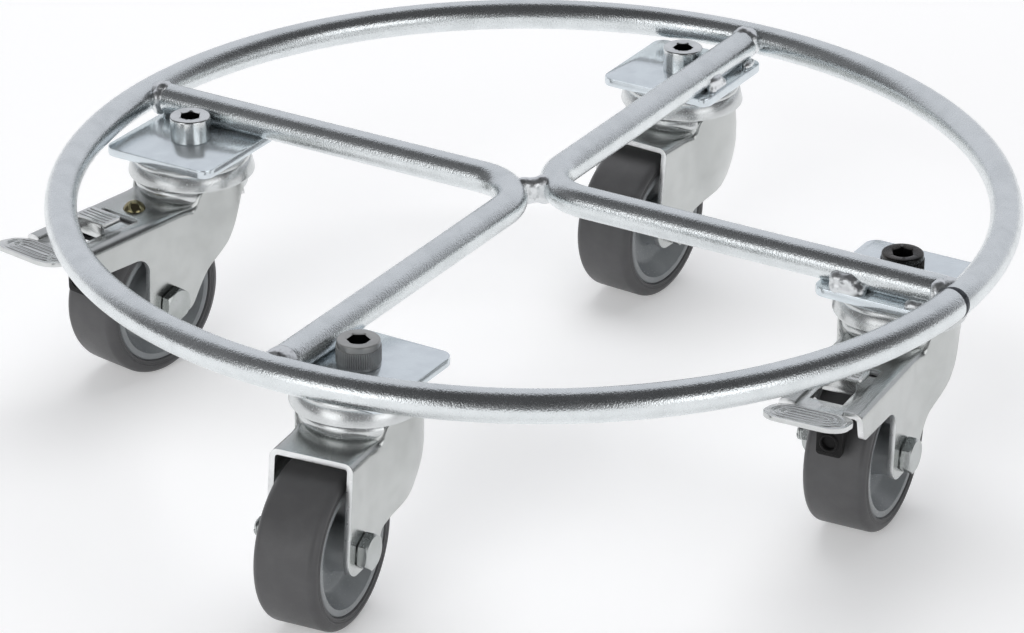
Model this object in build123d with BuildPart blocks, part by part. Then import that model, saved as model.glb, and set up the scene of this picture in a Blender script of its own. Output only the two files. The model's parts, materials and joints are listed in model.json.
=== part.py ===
"""Plant dolly: a ring of round steel rod with two bent cross bars, on four swivel casters, two with brakes.

Millimetres. The floor is z = 0, the ring's axis is the Z axis, and the cross bars lie along X and Y.
Each caster is modelled in its own frame: its swivel axis is Z, its wheel trails along +X and its axle lies
along Y. It is then turned to its heading and set under its plate.
"""

import os
from math import sqrt

from build123d import *

os.makedirs("parts", exist_ok=True)

# Welded frame
ring_diameter = 290.0
rod_diameter = 10.0
bar_end_gap = 0.3
apex_gap = 5.0
plate_size = 40.0
plate_thickness = 3.0
plate_corner_radius = 4.0
screw_reach = 119.6
screw_offset = 13.0

# Weld beads
bead_radius = 2.0
centre_bead_radius = 4.9
end_bead_radius = 5.4
end_bead_length = 3.8
end_bead_chamfer = 1.2
seam_bead_radius = 1.0
seam_bead_height = 0.4
plate_bead_inner_length = 13.0
plate_bead_outer_length = 6.0
plate_bead_inset = 2.5
plate_bead_gap = 0.4

# Cap screw and nut that hold each caster to its plate
screw_diameter = 8.0
screw_head_diameter = 13.0
screw_head_height = 8.0
screw_head_chamfer = 0.6
screw_socket_flats = 6.0
screw_socket_depth = 4.0
screw_end_overrun = 1.4
screw_hole_clearance = 0.2
swivel_nut_flats = 13.0
swivel_nut_height = 5.0

# Wheel
wheel_diameter = 50.0
wheel_width = 20.0
tyre_thickness = 4.6
tyre_shoulder_radius = 2.6
rim_lip_width = 1.9
rim_lip_inset = 0.4
rim_web_thickness = 6.8
rim_bowl_radius = 14.5
hub_diameter = 14.0
hub_taper = 1.2
hub_end_clearance = 0.5
hub_bore_clearance = 0.05

# Axle bolt, nut and the sleeve clamped between the fork's cheeks
axle_diameter = 6.0
axle_hole_clearance = 0.1
axle_sleeve_diameter = 8.0
axle_sleeve_clearance = 0.05
axle_head_flats = 10.0
axle_head_height = 4.0
axle_nut_height = 5.0
axle_end_overrun = 2.8

# Pressed fork
trail = 24.0
fork_sheet = 1.8
fork_bend_radius = 2.6
wheel_side_clearance = 1.4
wheel_top_clearance = 3.1
fork_back = 9.0
fork_front = 30.0
belly_rise = 6.5
belly_radius = 12.0
notch_rise = 1.4
notch_setback = 2.5
notch_radius = 4.0
ear_front = 10.4
ear_rear = 8.5
ear_drop = 5.7
ear_corner_radius = 5.4
crown_radius = 18.2
crown_rise = 4.3
crown_wall_drop = 6.9
crown_flare_drop = 28.0
crown_flare_run_in = 1.2

# Swivel bearing
cup_clearance = 0.05
cup_floor = 2.6
cup_wall = 2.0
race_gap = 0.5
race_radius = 20.3
race_height = 7.7
race_crease_drop = 2.5
race_crease_inset = 1.2
race_top_inset = 3.2
race_lip = 1.7
ball_diameter = 4.0
ball_count = 8
ball_pitch_radius = 11.5
ball_seat_clearance = 0.05
king_pin_radius = 5.5
king_pin_flange_radius = 9.5
king_pin_flange_height = 1.6
king_pin_clearance = 0.05
swivel_clearance = 0.3

# Braked fork: longer cheeks, open slot in the top for the pedal
nose_reach = 61.0
nose_tip_setback = 2.4
nose_tip_drop = 9.6
nose_tip_radius = 3.0
arch_drop = 10.4
arch_setback = 1.2
arch_radius = 6.0
braked_back = 7.5
slot_half_width = 7.6
slot_setback = 3.6

# Brake pedal, bent from one sheet, with a lanced release tab
pedal_sheet = 1.5
pivot_reach = 36.0
pivot_drop = 1.8
pivot_diameter = 2.5
pivot_clearance = 0.05
pivot_end_chamfer = 0.5
pedal_side_clearance = 0.4
window_start = 46.5
window_length = 9.5
window_half_width = 5.2
tab_height = 3.9
tab_depth = 8.0
tab_half_width = 6.6
tab_corner_radius = 1.2
tread_gap = 1.0
tread_depth = 15.0
tread_width = 25.6
tread_rise = 3.0
tread_corner_radius = 6.0
tread_overlap = 2.0
groove_depth = 0.35
groove_width = 0.8
groove_pitch = 2.3
groove_count = 2

# Brake shoe hung under the pedal
shoe_half_width = 4.0
shoe_travel_gap = 3.7
shoe_face_reach = 28.6
shoe_foot_height = 34.6
shoe_top_height = 45.6
shoe_stem_start = 1.0
shoe_stem_length = 4.4
shoe_stem_drop = 3.4
shoe_shoulder_height = 43.2
shoe_recess_diameter = 4.4
shoe_recess_depth = 1.2
shoe_recess_height = 39.0
shoe_corner_radius = 1.2

# Detent spring under the fork's top and its domed rivet
rivet_setback = 9.6
rivet_head_radius = 3.1
rivet_head_height = 2.1
rivet_shank_radius = 1.5
rivet_foot_radius = 2.4
rivet_foot_height = 0.7
spring_sheet = 0.7
spring_half_width = 4.0
spring_tail = 6.9
spring_tip_drop = 1.6
spring_tip_gap = 0.4

# Where the casters point at rest, in degrees from +X, and which have a brake
caster_headings = {"right": -86.0, "rear": -93.5, "left": -99.0, "front": -84.0}
braked_casters = ("right", "left")

# Levels and radii that follow from the sizes above
ring_radius = ring_diameter / 2
rod_radius = rod_diameter / 2
axle_height = wheel_diameter / 2
wheel_radius = wheel_diameter / 2
rim_radius = wheel_radius - tyre_thickness
fork_inner_half = wheel_width / 2 + wheel_side_clearance
fork_outer_half = fork_inner_half + fork_sheet
fork_underside = wheel_diameter + wheel_top_clearance
fork_top = fork_underside + fork_sheet
cup_seat_radius = crown_radius - fork_sheet
cup_radius = cup_seat_radius - cup_clearance
cup_top = fork_top + crown_rise
race_bottom = cup_top + race_gap
plate_bottom = race_bottom + race_height
plate_top = plate_bottom + plate_thickness
ring_height = plate_top + rod_radius
ball_height = fork_top + cup_floor + ball_seat_clearance + ball_diameter / 2
flange_top = fork_underside - swivel_clearance
flange_bottom = flange_top - king_pin_flange_height
nut_bottom = flange_bottom - swivel_nut_height
screw_bottom = nut_bottom - screw_end_overrun
screw_hole_radius = screw_diameter / 2 + screw_hole_clearance
axle_hole_radius = axle_diameter / 2 + axle_hole_clearance
bar_bend_radius = (rod_radius + apex_gap / 2) / (sqrt(2) - 1)
bar_reach = ring_radius - rod_radius - bar_end_gap
end_bead_start = ring_radius - rod_radius - end_bead_length
slot_start = pivot_reach - slot_setback
rivet_reach = pivot_reach - rivet_setback
spring_rear_reach = rivet_reach - spring_tail
bar_angles = {"right": 0, "rear": 90, "left": 180, "front": 270}

side_plane = Plane.XZ
axle_axis = Axis((trail, 0, axle_height), (0, 1, 0))
wheel_plane = Plane(origin=(trail, 0, axle_height), x_dir=(0, 1, 0), z_dir=(1, 0, 0))


def write_piece(piece, name):
    """Label a finished piece and write it to its own file."""
    piece.label = name
    export_step(piece, f"parts/{name}.step")


# Ring
with BuildPart() as ring:
    with BuildSketch(Plane.XZ):
        with Locations((ring_radius, ring_height)):
            Circle(rod_radius)
    revolve(axis=Axis.Z)
write_piece(ring.part, "ring")


# Two cross bars, each bent square at the ring's centre and cut off square just inside the ring
def bent_bar(first_end, second_end):
    """Sweep one bar from end to end round its bend."""
    with BuildPart() as bar:
        with BuildLine(Plane.XY.offset(ring_height)) as route:
            FilletPolyline(first_end, (0, 0), second_end, radius=bar_bend_radius)
        with BuildSketch(Plane(origin=route.line @ 0, z_dir=route.line % 0)):
            Circle(rod_radius)
        sweep()
    return bar.part


left_bar = bent_bar((-bar_reach, 0), (0, -bar_reach))
right_bar = bent_bar((bar_reach, 0), (0, bar_reach))
write_piece(left_bar, "left_bar")
write_piece(right_bar, "right_bar")

# Caster plates, welded under the bars with the screw hole in the middle of each
with BuildPart() as plate:
    with BuildSketch(Plane((screw_reach, screw_offset, plate_bottom))):
        RectangleRounded(plate_size, plate_size, plate_corner_radius)
        Circle(screw_hole_radius, mode=Mode.SUBTRACT)
    extrude(amount=plate_thickness)
for name, angle in bar_angles.items():
    write_piece(plate.part.moved(Location((0, 0, 0), (0, 0, angle))), f"{name}_plate")

# Welds of the ring and bars: one round each bar end, open underneath, one at the bends, and the outer half
# of the ring's own butt seam
with BuildPart() as bar_end_weld:
    with BuildSketch(Plane.YZ.offset(end_bead_start)):
        with Locations((0, ring_height)):
            Circle(end_bead_radius)
    extrude(amount=end_bead_length + rod_radius)
    chamfer(bar_end_weld.edges().group_by(Axis.X)[0], end_bead_radius - rod_radius, end_bead_chamfer)
    for neighbour in (ring.part, right_bar):
        add(neighbour, mode=Mode.SUBTRACT)
    split(bisect_by=Plane.XY.offset(plate_top + bead_radius / 2), keep=Keep.TOP)

with BuildPart() as frame_welds:
    with Locations((0, 0, ring_height)):
        Sphere(centre_bead_radius)
    with BuildSketch(Plane.YZ.offset(ring_radius)):
        with Locations((0, ring_height + rod_radius + seam_bead_height - seam_bead_radius)):
            Circle(seam_bead_radius)
    revolve(axis=Axis((ring_radius, 0, ring_height), (0, 1, 0)), revolution_arc=180)
    for neighbour in (ring.part, left_bar, right_bar):
        add(neighbour, mode=Mode.SUBTRACT)
    with PolarLocations(0, len(bar_angles)):
        add(bar_end_weld.part)
write_piece(frame_welds.part, "frame_welds")

# Two beads in the corner between each bar and its plate, with a gap between them
plate_start = screw_reach - plate_size / 2
plate_end = min(screw_reach + plate_size / 2, end_bead_start)
bead_runs = (
    (plate_start + plate_bead_inset, plate_bead_inner_length),
    (plate_end - plate_bead_gap - plate_bead_outer_length, plate_bead_outer_length),
)
with BuildPart() as bead_pair:
    for bead_start, bead_length in bead_runs:
        with BuildSketch(Plane((bead_start, 0, 0), x_dir=(0, 1, 0), z_dir=(1, 0, 0))):
            with Locations((-rod_radius + bead_radius / 2, plate_top + bead_radius / 2)):
                Circle(bead_radius)
        extrude(amount=bead_length)
    add(right_bar, mode=Mode.SUBTRACT)
    add(plate.part, mode=Mode.SUBTRACT)
with BuildPart() as plate_welds:
    with PolarLocations(0, len(bar_angles)):
        add(bead_pair.part)
write_piece(plate_welds.part, "plate_welds")

# Socket cap screws, king pins and nuts: a group of four each, all on the plates' screw axes
with BuildPart() as cap_screw:
    with Locations((screw_reach, screw_offset, plate_top)):
        Cylinder(
            screw_head_diameter / 2, screw_head_height, align=(Align.CENTER, Align.CENTER, Align.MIN)
        )
    chamfer(cap_screw.edges().group_by(Axis.Z)[-1], screw_head_chamfer)
    with Locations((screw_reach, screw_offset, plate_top)):
        Cylinder(
            screw_diameter / 2, plate_top - screw_bottom, align=(Align.CENTER, Align.CENTER, Align.MAX)
        )
    with BuildSketch(Plane((screw_reach, screw_offset, plate_top + screw_head_height))):
        RegularPolygon(screw_socket_flats / 2, 6, major_radius=False)
    extrude(amount=-screw_socket_depth, mode=Mode.SUBTRACT)

with BuildPart() as king_pin:
    with BuildSketch(Plane((screw_reach, screw_offset, flange_bottom))):
        Circle(king_pin_flange_radius)
    extrude(amount=king_pin_flange_height)
    with BuildSketch(Plane((screw_reach, screw_offset, flange_bottom))):
        Circle(king_pin_radius)
    extrude(amount=plate_bottom - flange_bottom)
    with BuildSketch(Plane((screw_reach, screw_offset, flange_bottom))):
        Circle(screw_hole_radius)
    extrude(amount=plate_bottom - flange_bottom, mode=Mode.SUBTRACT)

with BuildPart() as swivel_nut:
    with BuildSketch(Plane((screw_reach, screw_offset, nut_bottom))):
        RegularPolygon(swivel_nut_flats / 2, 6, major_radius=False)
        Circle(screw_diameter / 2, mode=Mode.SUBTRACT)
    extrude(amount=swivel_nut_height)

for single, group_name in ((cap_screw, "cap_screws"), (king_pin, "king_pins"), (swivel_nut, "swivel_nuts")):
    with BuildPart() as group:
        with PolarLocations(0, len(bar_angles)):
            add(single.part)
    write_piece(group.part, group_name)

# Upper race: a pressed bowl under the plate that widens down to a lip over the balls
with BuildPart() as upper_race:
    with BuildSketch(Plane.XZ):
        with BuildLine():
            web_bottom = ball_height + ball_diameter / 4
            race_shoulder = (race_radius - race_top_inset, plate_bottom)
            race_crease = (race_radius - race_crease_inset, plate_bottom - race_crease_drop)
            Polyline((king_pin_radius, web_bottom), (king_pin_radius, plate_bottom), race_shoulder)
            TangentArc(race_shoulder, race_crease, tangent=(1, 0))
            Polyline(
                race_crease,
                (race_radius, race_bottom),
                (race_radius - race_lip, race_bottom),
                (race_radius - race_lip, web_bottom),
                (king_pin_radius, web_bottom),
            )
        make_face()
    revolve(axis=Axis.Z)
    with BuildSketch(Plane.XZ):
        with Locations((ball_pitch_radius, ball_height)):
            Circle(ball_diameter / 2 + swivel_clearance)
    revolve(axis=Axis.Z, mode=Mode.SUBTRACT)

# Bearing cup: a turned ring in the fork's raised crown that carries the balls
with BuildPart() as bearing_cup:
    with BuildSketch(Plane.XZ):
        with BuildLine():
            cup_bore = king_pin_radius + swivel_clearance
            seat_top = fork_top + cup_floor + ball_diameter / 4
            Polyline(
                (cup_bore, fork_top),
                (cup_radius, fork_top),
                (cup_radius, cup_top),
                (cup_radius - cup_wall, cup_top),
                (cup_radius - cup_wall, seat_top),
                (cup_bore, seat_top),
                close=True,
            )
        make_face()
    revolve(axis=Axis.Z)
    with BuildSketch(Plane.XZ):
        with Locations((ball_pitch_radius, ball_height)):
            Circle(ball_diameter / 2 + ball_seat_clearance)
    revolve(axis=Axis.Z, mode=Mode.SUBTRACT)

with BuildPart() as ball_row:
    with PolarLocations(ball_pitch_radius, ball_count):
        with Locations((0, 0, ball_height)):
            Sphere(ball_diameter / 2)


# Pressed forks: a sheet bent over the wheel, its cheeks belled out round the crown, which rises round the cup
def crown_bell(wall_radius, top, foot_radius):
    """Revolve the bell that spreads the cheeks: a straight wall under the crown, running in towards its foot."""
    wall_foot = (wall_radius, fork_top - crown_wall_drop)
    bell_foot = (foot_radius, fork_top - crown_flare_drop)
    with BuildPart() as bell:
        with BuildSketch(Plane.XZ):
            with BuildLine():
                Polyline((0, bell_foot[1]), (0, top), (wall_radius, top), wall_foot)
                TangentArc(wall_foot, bell_foot, tangent=(0, -1))
                Line(bell_foot, (0, bell_foot[1]))
            make_face()
        revolve(axis=Axis.Z)
    return bell.part


outer_bell = crown_bell(crown_radius, fork_top, fork_outer_half - crown_flare_run_in)
inner_bell = crown_bell(cup_seat_radius, fork_underside, fork_inner_half - crown_flare_run_in)


def pressed_fork(outline):
    """Bend a fork from sheet.

    outline lists the corners (x, z, radius) of a cheek, from its top rear corner round the front and the ear.
    """
    with BuildPart() as fork:
        with BuildSketch(Plane.YZ):
            with Locations((0, fork_top)):
                RectangleRounded(
                    2 * fork_outer_half, 2 * fork_top, fork_bend_radius, align=(Align.CENTER, Align.MAX)
                )
        extrude(amount=nose_reach, both=True)
        add(outer_bell)
        with BuildSketch(side_plane):
            with BuildLine():
                FilletPolyline(
                    [(x, z) for x, z, radius in outline],
                    radius=[radius for x, z, radius in outline],
                    close=True,
                )
            make_face()
        extrude(amount=crown_radius, both=True, mode=Mode.INTERSECT)
        with BuildSketch(Plane.YZ):
            with Locations((0, fork_underside)):
                RectangleRounded(
                    2 * fork_inner_half,
                    2 * fork_underside,
                    fork_bend_radius - fork_sheet,
                    align=(Align.CENTER, Align.MAX),
                )
        extrude(amount=nose_reach, both=True, mode=Mode.SUBTRACT)
        add(inner_bell, mode=Mode.SUBTRACT)
        with BuildSketch(Plane.XY.offset(fork_underside)):
            Circle(crown_radius)
        extrude(amount=fork_sheet + crown_rise)
        with BuildSketch(Plane.XY.offset(fork_top)):
            Circle(cup_seat_radius)
        extrude(amount=crown_rise, mode=Mode.SUBTRACT)
        with BuildSketch(Plane.XY.offset(fork_top)):
            Circle(king_pin_radius + king_pin_clearance)
        extrude(amount=-fork_sheet, mode=Mode.SUBTRACT)
        with BuildSketch(side_plane):
            with Locations((trail, axle_height)):
                Circle(axle_hole_radius)
        extrude(amount=fork_outer_half, both=True, mode=Mode.SUBTRACT)
    return fork.part


ear_bottom = axle_height - ear_drop
ear_corners = [
    (trail + ear_front, ear_bottom, ear_corner_radius),
    (trail - ear_rear, ear_bottom, ear_corner_radius),
]
plain_fork = pressed_fork(
    [
        (-fork_back, fork_top, 0),
        (fork_front, fork_top, 0),
        *ear_corners,
        (trail - ear_rear - notch_setback, axle_height + notch_rise, notch_radius),
        (-fork_back, axle_height + belly_rise, belly_radius),
    ]
)
braked_outline = [
    (-braked_back, fork_top, 0),
    (nose_reach, fork_top, 0),
    (nose_reach - nose_tip_setback, fork_top - nose_tip_drop, nose_tip_radius),
    (trail + ear_front - arch_setback, fork_top - arch_drop, arch_radius),
    *ear_corners,
]

with BuildPart() as braked_fork:
    add(pressed_fork(braked_outline))
    with BuildSketch(Plane.XY.offset(fork_top)):
        with Locations((slot_start, 0)):
            Rectangle(nose_reach, 2 * slot_half_width, align=(Align.MIN, Align.CENTER))
        with Locations((rivet_reach, 0)):
            Circle(rivet_shank_radius)
    extrude(amount=-fork_sheet, mode=Mode.SUBTRACT)

# Wheel: a soft tyre on a moulded rim with a bowl on each side
with BuildPart() as tyre:
    with BuildSketch(wheel_plane) as tyre_section:
        with Locations((0, rim_radius)):
            Rectangle(wheel_width, tyre_thickness, align=(Align.CENTER, Align.MIN))
        fillet(tyre_section.vertices().group_by(Axis.Y)[-1], tyre_shoulder_radius)
    revolve(axis=axle_axis)

with BuildPart() as rim:
    with BuildSketch(wheel_plane):
        with BuildLine():
            rim_half = wheel_width / 2 - rim_lip_inset
            web_half = rim_web_thickness / 2
            hub_half = fork_inner_half - hub_end_clearance
            hub_bore = axle_sleeve_diameter / 2 + hub_bore_clearance
            half_section = Polyline(
                (0, rim_radius),
                (rim_half, rim_radius),
                (rim_half, rim_radius - rim_lip_width),
                (web_half, rim_bowl_radius),
                (web_half, hub_diameter / 2 + hub_taper),
                (hub_half, hub_diameter / 2),
                (hub_half, hub_bore),
                (0, hub_bore),
            )
            mirror(half_section, about=Plane.YZ)
        make_face()
    revolve(axis=axle_axis)

# Axle bolt, its nut, and the sleeve that the hub turns on
cheek_plane = Plane(origin=(trail, fork_outer_half, axle_height), x_dir=(1, 0, 0), z_dir=(0, 1, 0))
axle_length = 2 * fork_outer_half + axle_nut_height + axle_end_overrun
with BuildPart() as axle_bolt:
    with BuildSketch(cheek_plane):
        RegularPolygon(axle_head_flats / 2, 6, major_radius=False)
    extrude(amount=axle_head_height)
    with BuildSketch(cheek_plane):
        Circle(axle_diameter / 2)
    extrude(amount=-axle_length)

with BuildPart() as axle_nut:
    with BuildSketch(cheek_plane.offset(-2 * fork_outer_half)):
        RegularPolygon(axle_head_flats / 2, 6, major_radius=False)
        Circle(axle_diameter / 2, mode=Mode.SUBTRACT)
    extrude(amount=-axle_nut_height)

with BuildPart() as axle_sleeve:
    with BuildSketch(cheek_plane.offset(-fork_sheet)):
        Circle(axle_sleeve_diameter / 2)
        Circle(axle_diameter / 2 + axle_sleeve_clearance, mode=Mode.SUBTRACT)
    extrude(amount=-2 * fork_inner_half)

# Brake pedal: eye round the pivot, flat neck in the fork's slot, lanced tab and a wide foot tread
eye_radius = pivot_diameter / 2 + pivot_clearance
eye_outer = eye_radius + pedal_sheet
pivot_height = fork_underside - pivot_drop
neck_top = pivot_height + eye_outer
neck_bottom = neck_top - pedal_sheet
neck_half = slot_half_width - pedal_side_clearance
tread_rear = nose_reach + tread_gap
tread_front = tread_rear + tread_depth
neck_length = tread_rear + tread_overlap - pivot_reach + eye_outer
tread_plane = Plane(
    origin=(tread_rear + tread_depth / 2, 0, neck_top + tread_rise / 2),
    x_dir=(tread_depth, 0, tread_rise),
    z_dir=(-tread_rise, 0, tread_depth),
)
with BuildPart() as brake_pedal:
    with BuildSketch(side_plane):
        with Locations((pivot_reach, pivot_height)):
            Circle(eye_outer)
        with BuildLine():
            Polyline(
                (pivot_reach, neck_bottom),
                (tread_rear, neck_bottom),
                (tread_front, neck_bottom + tread_rise),
                (tread_front, neck_top + tread_rise),
                (tread_rear, neck_top),
                (pivot_reach, neck_top),
                close=True,
            )
        make_face()
        with Locations((pivot_reach, pivot_height)):
            Circle(eye_radius, mode=Mode.SUBTRACT)
    extrude(amount=tread_width / 2, both=True)
    with BuildSketch(Plane.XY):
        with Locations((pivot_reach - eye_outer, 0)):
            Rectangle(neck_length, 2 * neck_half, align=(Align.MIN, Align.CENTER))
        with Locations((tread_rear, 0)):
            RectangleRounded(tread_depth, tread_width, tread_corner_radius, align=(Align.MIN, Align.CENTER))
    extrude(amount=2 * fork_top, mode=Mode.INTERSECT)
    with BuildSketch(Plane.XY.offset(neck_top)):
        with Locations((window_start, 0)):
            Rectangle(window_length, 2 * window_half_width, align=(Align.MIN, Align.CENTER))
    extrude(amount=-pedal_sheet, mode=Mode.SUBTRACT)
    with BuildSketch(Plane.XY.offset(neck_bottom)):
        with Locations((window_start, 0)):
            Rectangle(pedal_sheet, 2 * window_half_width, align=(Align.MAX, Align.CENTER))
    extrude(amount=tab_height + pedal_sheet)
    with BuildSketch(Plane.XY.offset(neck_top + tab_height)):
        with Locations((window_start, 0)):
            RectangleRounded(
                tab_depth, 2 * tab_half_width, tab_corner_radius, align=(Align.MAX, Align.CENTER)
            )
    extrude(amount=-pedal_sheet)
    with BuildSketch(tread_plane):
        for ring_number in range(1, groove_count + 1):
            inset = 2 * groove_pitch * ring_number
            groove_ends = tread_width - inset
            groove_sides = tread_depth - inset
            SlotOverall(groove_ends, groove_sides, rotation=90)
            SlotOverall(
                groove_ends - 2 * groove_width,
                groove_sides - 2 * groove_width,
                rotation=90,
                mode=Mode.SUBTRACT,
            )
    extrude(amount=-groove_depth, mode=Mode.SUBTRACT)

with BuildPart() as pivot_pin:
    with BuildSketch(side_plane):
        with Locations((pivot_reach, pivot_height)):
            Circle(pivot_diameter / 2)
    extrude(amount=fork_inner_half, both=True)
    chamfer(pivot_pin.edges().filter_by(GeomType.CIRCLE), pivot_end_chamfer)

# Brake shoe: a block facing the tread, on a stem under the pedal's neck in front of the window
window_end = window_start + window_length
shoe_front = trail + shoe_face_reach
shoe_arc_radius = wheel_radius + shoe_travel_gap
with BuildPart() as brake_shoe:
    with BuildSketch(side_plane):
        with BuildLine():
            Polyline(
                (trail, shoe_foot_height),
                (shoe_front, shoe_foot_height),
                (shoe_front, shoe_shoulder_height),
                (window_end + shoe_stem_start + shoe_stem_length, neck_bottom - shoe_stem_drop),
                (window_end + shoe_stem_start + shoe_stem_length, neck_bottom),
                (window_end + shoe_stem_start, neck_bottom),
                (window_end - shoe_stem_length / 2, shoe_top_height),
                (trail, shoe_top_height),
                close=True,
            )
        make_face()
        with Locations((trail, axle_height)):
            Circle(shoe_arc_radius, mode=Mode.SUBTRACT)
    extrude(amount=shoe_half_width, both=True)
    fillet(brake_shoe.edges().filter_by(Axis.X).group_by(Axis.Z)[0], shoe_corner_radius)
    face_plane = Plane(origin=(shoe_front, 0, shoe_recess_height), x_dir=(0, 1, 0), z_dir=(1, 0, 0))
    with BuildSketch(face_plane):
        Circle(shoe_recess_diameter / 2)
    extrude(amount=-shoe_recess_depth, mode=Mode.SUBTRACT)

# Detent spring under the fork's top, behind the pedal's eye, and the rivet that holds it
spring_top = fork_underside
spring_front = pivot_reach - eye_outer - spring_tip_gap
with BuildPart() as detent_spring:
    with BuildSketch(side_plane):
        with BuildLine():
            Polyline(
                (spring_rear_reach, spring_top),
                (spring_front - spring_tip_drop, spring_top),
                (spring_front, spring_top - spring_tip_drop),
                (spring_front - spring_sheet, spring_top - spring_tip_drop - spring_sheet),
                (spring_front - spring_tip_drop - spring_sheet, spring_top - spring_sheet),
                (spring_rear_reach, spring_top - spring_sheet),
                close=True,
            )
        make_face()
    extrude(amount=spring_half_width, both=True)
    with BuildSketch(Plane.XY.offset(spring_top)):
        with Locations((rivet_reach, 0)):
            Circle(rivet_shank_radius)
    extrude(amount=-spring_sheet, mode=Mode.SUBTRACT)

with BuildPart() as spring_rivet:
    dome_radius = (rivet_head_radius**2 + rivet_head_height**2) / (2 * rivet_head_height)
    rivet_foot = spring_top - spring_sheet - rivet_foot_height
    with BuildSketch(Plane(origin=(rivet_reach, 0, 0), x_dir=(1, 0, 0), z_dir=(0, -1, 0))):
        with BuildLine():
            Polyline(
                (0, fork_top + rivet_head_height),
                (0, rivet_foot),
                (rivet_foot_radius, rivet_foot),
                (rivet_foot_radius, spring_top - spring_sheet),
                (rivet_shank_radius, spring_top - spring_sheet),
                (rivet_shank_radius, fork_top),
                (rivet_head_radius, fork_top),
            )
            RadiusArc((rivet_head_radius, fork_top), (0, fork_top + rivet_head_height), -dome_radius)
        make_face()
    revolve(axis=Axis((rivet_reach, 0, 0), (0, 0, 1)))

# Each caster, turned to its heading under its plate
caster_pieces = {
    "bearing_cup": bearing_cup.part,
    "ball_row": ball_row.part,
    "axle_bolt": axle_bolt.part,
    "axle_nut": axle_nut.part,
    "axle_sleeve": axle_sleeve.part,
    "tyre": tyre.part,
    "rim": rim.part,
}
brake_pieces = {
    "brake_pedal": brake_pedal.part,
    "brake_shoe": brake_shoe.part,
    "pivot_pin": pivot_pin.part,
    "detent_spring": detent_spring.part,
    "spring_rivet": spring_rivet.part,
}
for name, angle in bar_angles.items():
    screw_axis = Vector(screw_reach, screw_offset).rotate(Axis.Z, angle)
    under_plate = Location((screw_axis.X, screw_axis.Y, 0), (0, 0, caster_headings[name]))
    write_piece(upper_race.part.moved(under_plate), f"{name}_upper_race")
    fork_piece = braked_fork.part if name in braked_casters else plain_fork
    write_piece(fork_piece.moved(under_plate), f"{name}_fork")
    for piece_name, piece in caster_pieces.items():
        write_piece(piece.moved(under_plate), f"{name}_{piece_name}")
    if name in braked_casters:
        for piece_name, piece in brake_pieces.items():
            write_piece(piece.moved(under_plate), f"{name}_{piece_name}")
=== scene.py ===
"""Plant dolly: a welded zinc rod frame on four swivel casters, two of them braked, set up in a pale studio.

Sizes are in millimetres in each part's own frame and become metres when a mesh is placed. A caster's own
frame has its swivel axis on Z, its wheel trailing along +X, its axle along Y and the floor at zero.
"""

import json
import logging
import math
from abc import ABC, abstractmethod
from collections.abc import Iterable, Sequence
from dataclasses import dataclass, field
from enum import Enum
from typing import Any

import bmesh
import bpy
from mathutils import Matrix, Vector
from mathutils.geometry import delaunay_2d_cdt


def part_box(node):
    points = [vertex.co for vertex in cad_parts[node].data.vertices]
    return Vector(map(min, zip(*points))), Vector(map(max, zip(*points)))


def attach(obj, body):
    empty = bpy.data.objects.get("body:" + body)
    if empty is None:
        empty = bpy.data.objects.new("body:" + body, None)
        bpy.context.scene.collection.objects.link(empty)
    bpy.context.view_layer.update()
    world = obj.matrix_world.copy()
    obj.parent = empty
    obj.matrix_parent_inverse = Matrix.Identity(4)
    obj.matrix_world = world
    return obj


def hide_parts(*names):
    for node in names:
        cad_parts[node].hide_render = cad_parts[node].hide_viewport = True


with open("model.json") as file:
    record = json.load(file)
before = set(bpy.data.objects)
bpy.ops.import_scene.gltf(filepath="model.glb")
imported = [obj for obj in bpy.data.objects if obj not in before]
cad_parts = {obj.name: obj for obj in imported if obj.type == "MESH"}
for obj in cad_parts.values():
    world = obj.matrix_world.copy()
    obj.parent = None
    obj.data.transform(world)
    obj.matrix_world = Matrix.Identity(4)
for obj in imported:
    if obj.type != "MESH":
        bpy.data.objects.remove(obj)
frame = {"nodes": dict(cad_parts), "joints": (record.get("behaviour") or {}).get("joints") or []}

log = logging.getLogger("plant_dolly")

MM = 0.001
TO_METRES = Matrix.Scale(MM, 4)
NOISE_SPAN = (0.3, 0.7)
CRISP_ANGLE = 38.0
CUT_ANGLE = 60.0
HEX_FLAT_STEPS = 16
HEX_FLAT_HALF_ANGLE = 28.8
HEX_CHAMFER_ANGLE = 30.0
FINE_STEPS = 128
COARSE_STEPS = 48
SAME_POINT = 1e-6
FLAT_ANGLE = 0.4
ONLY_INSIDE = 1

Colour = tuple[float, float, float]
Triple = tuple[float, float, float]
Pair = tuple[float, float]
BMesh = bmesh.types.BMesh
Loop = Sequence[bmesh.types.BMVert]
Socket = bpy.types.NodeSocket


# Node graphs and finishes


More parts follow.
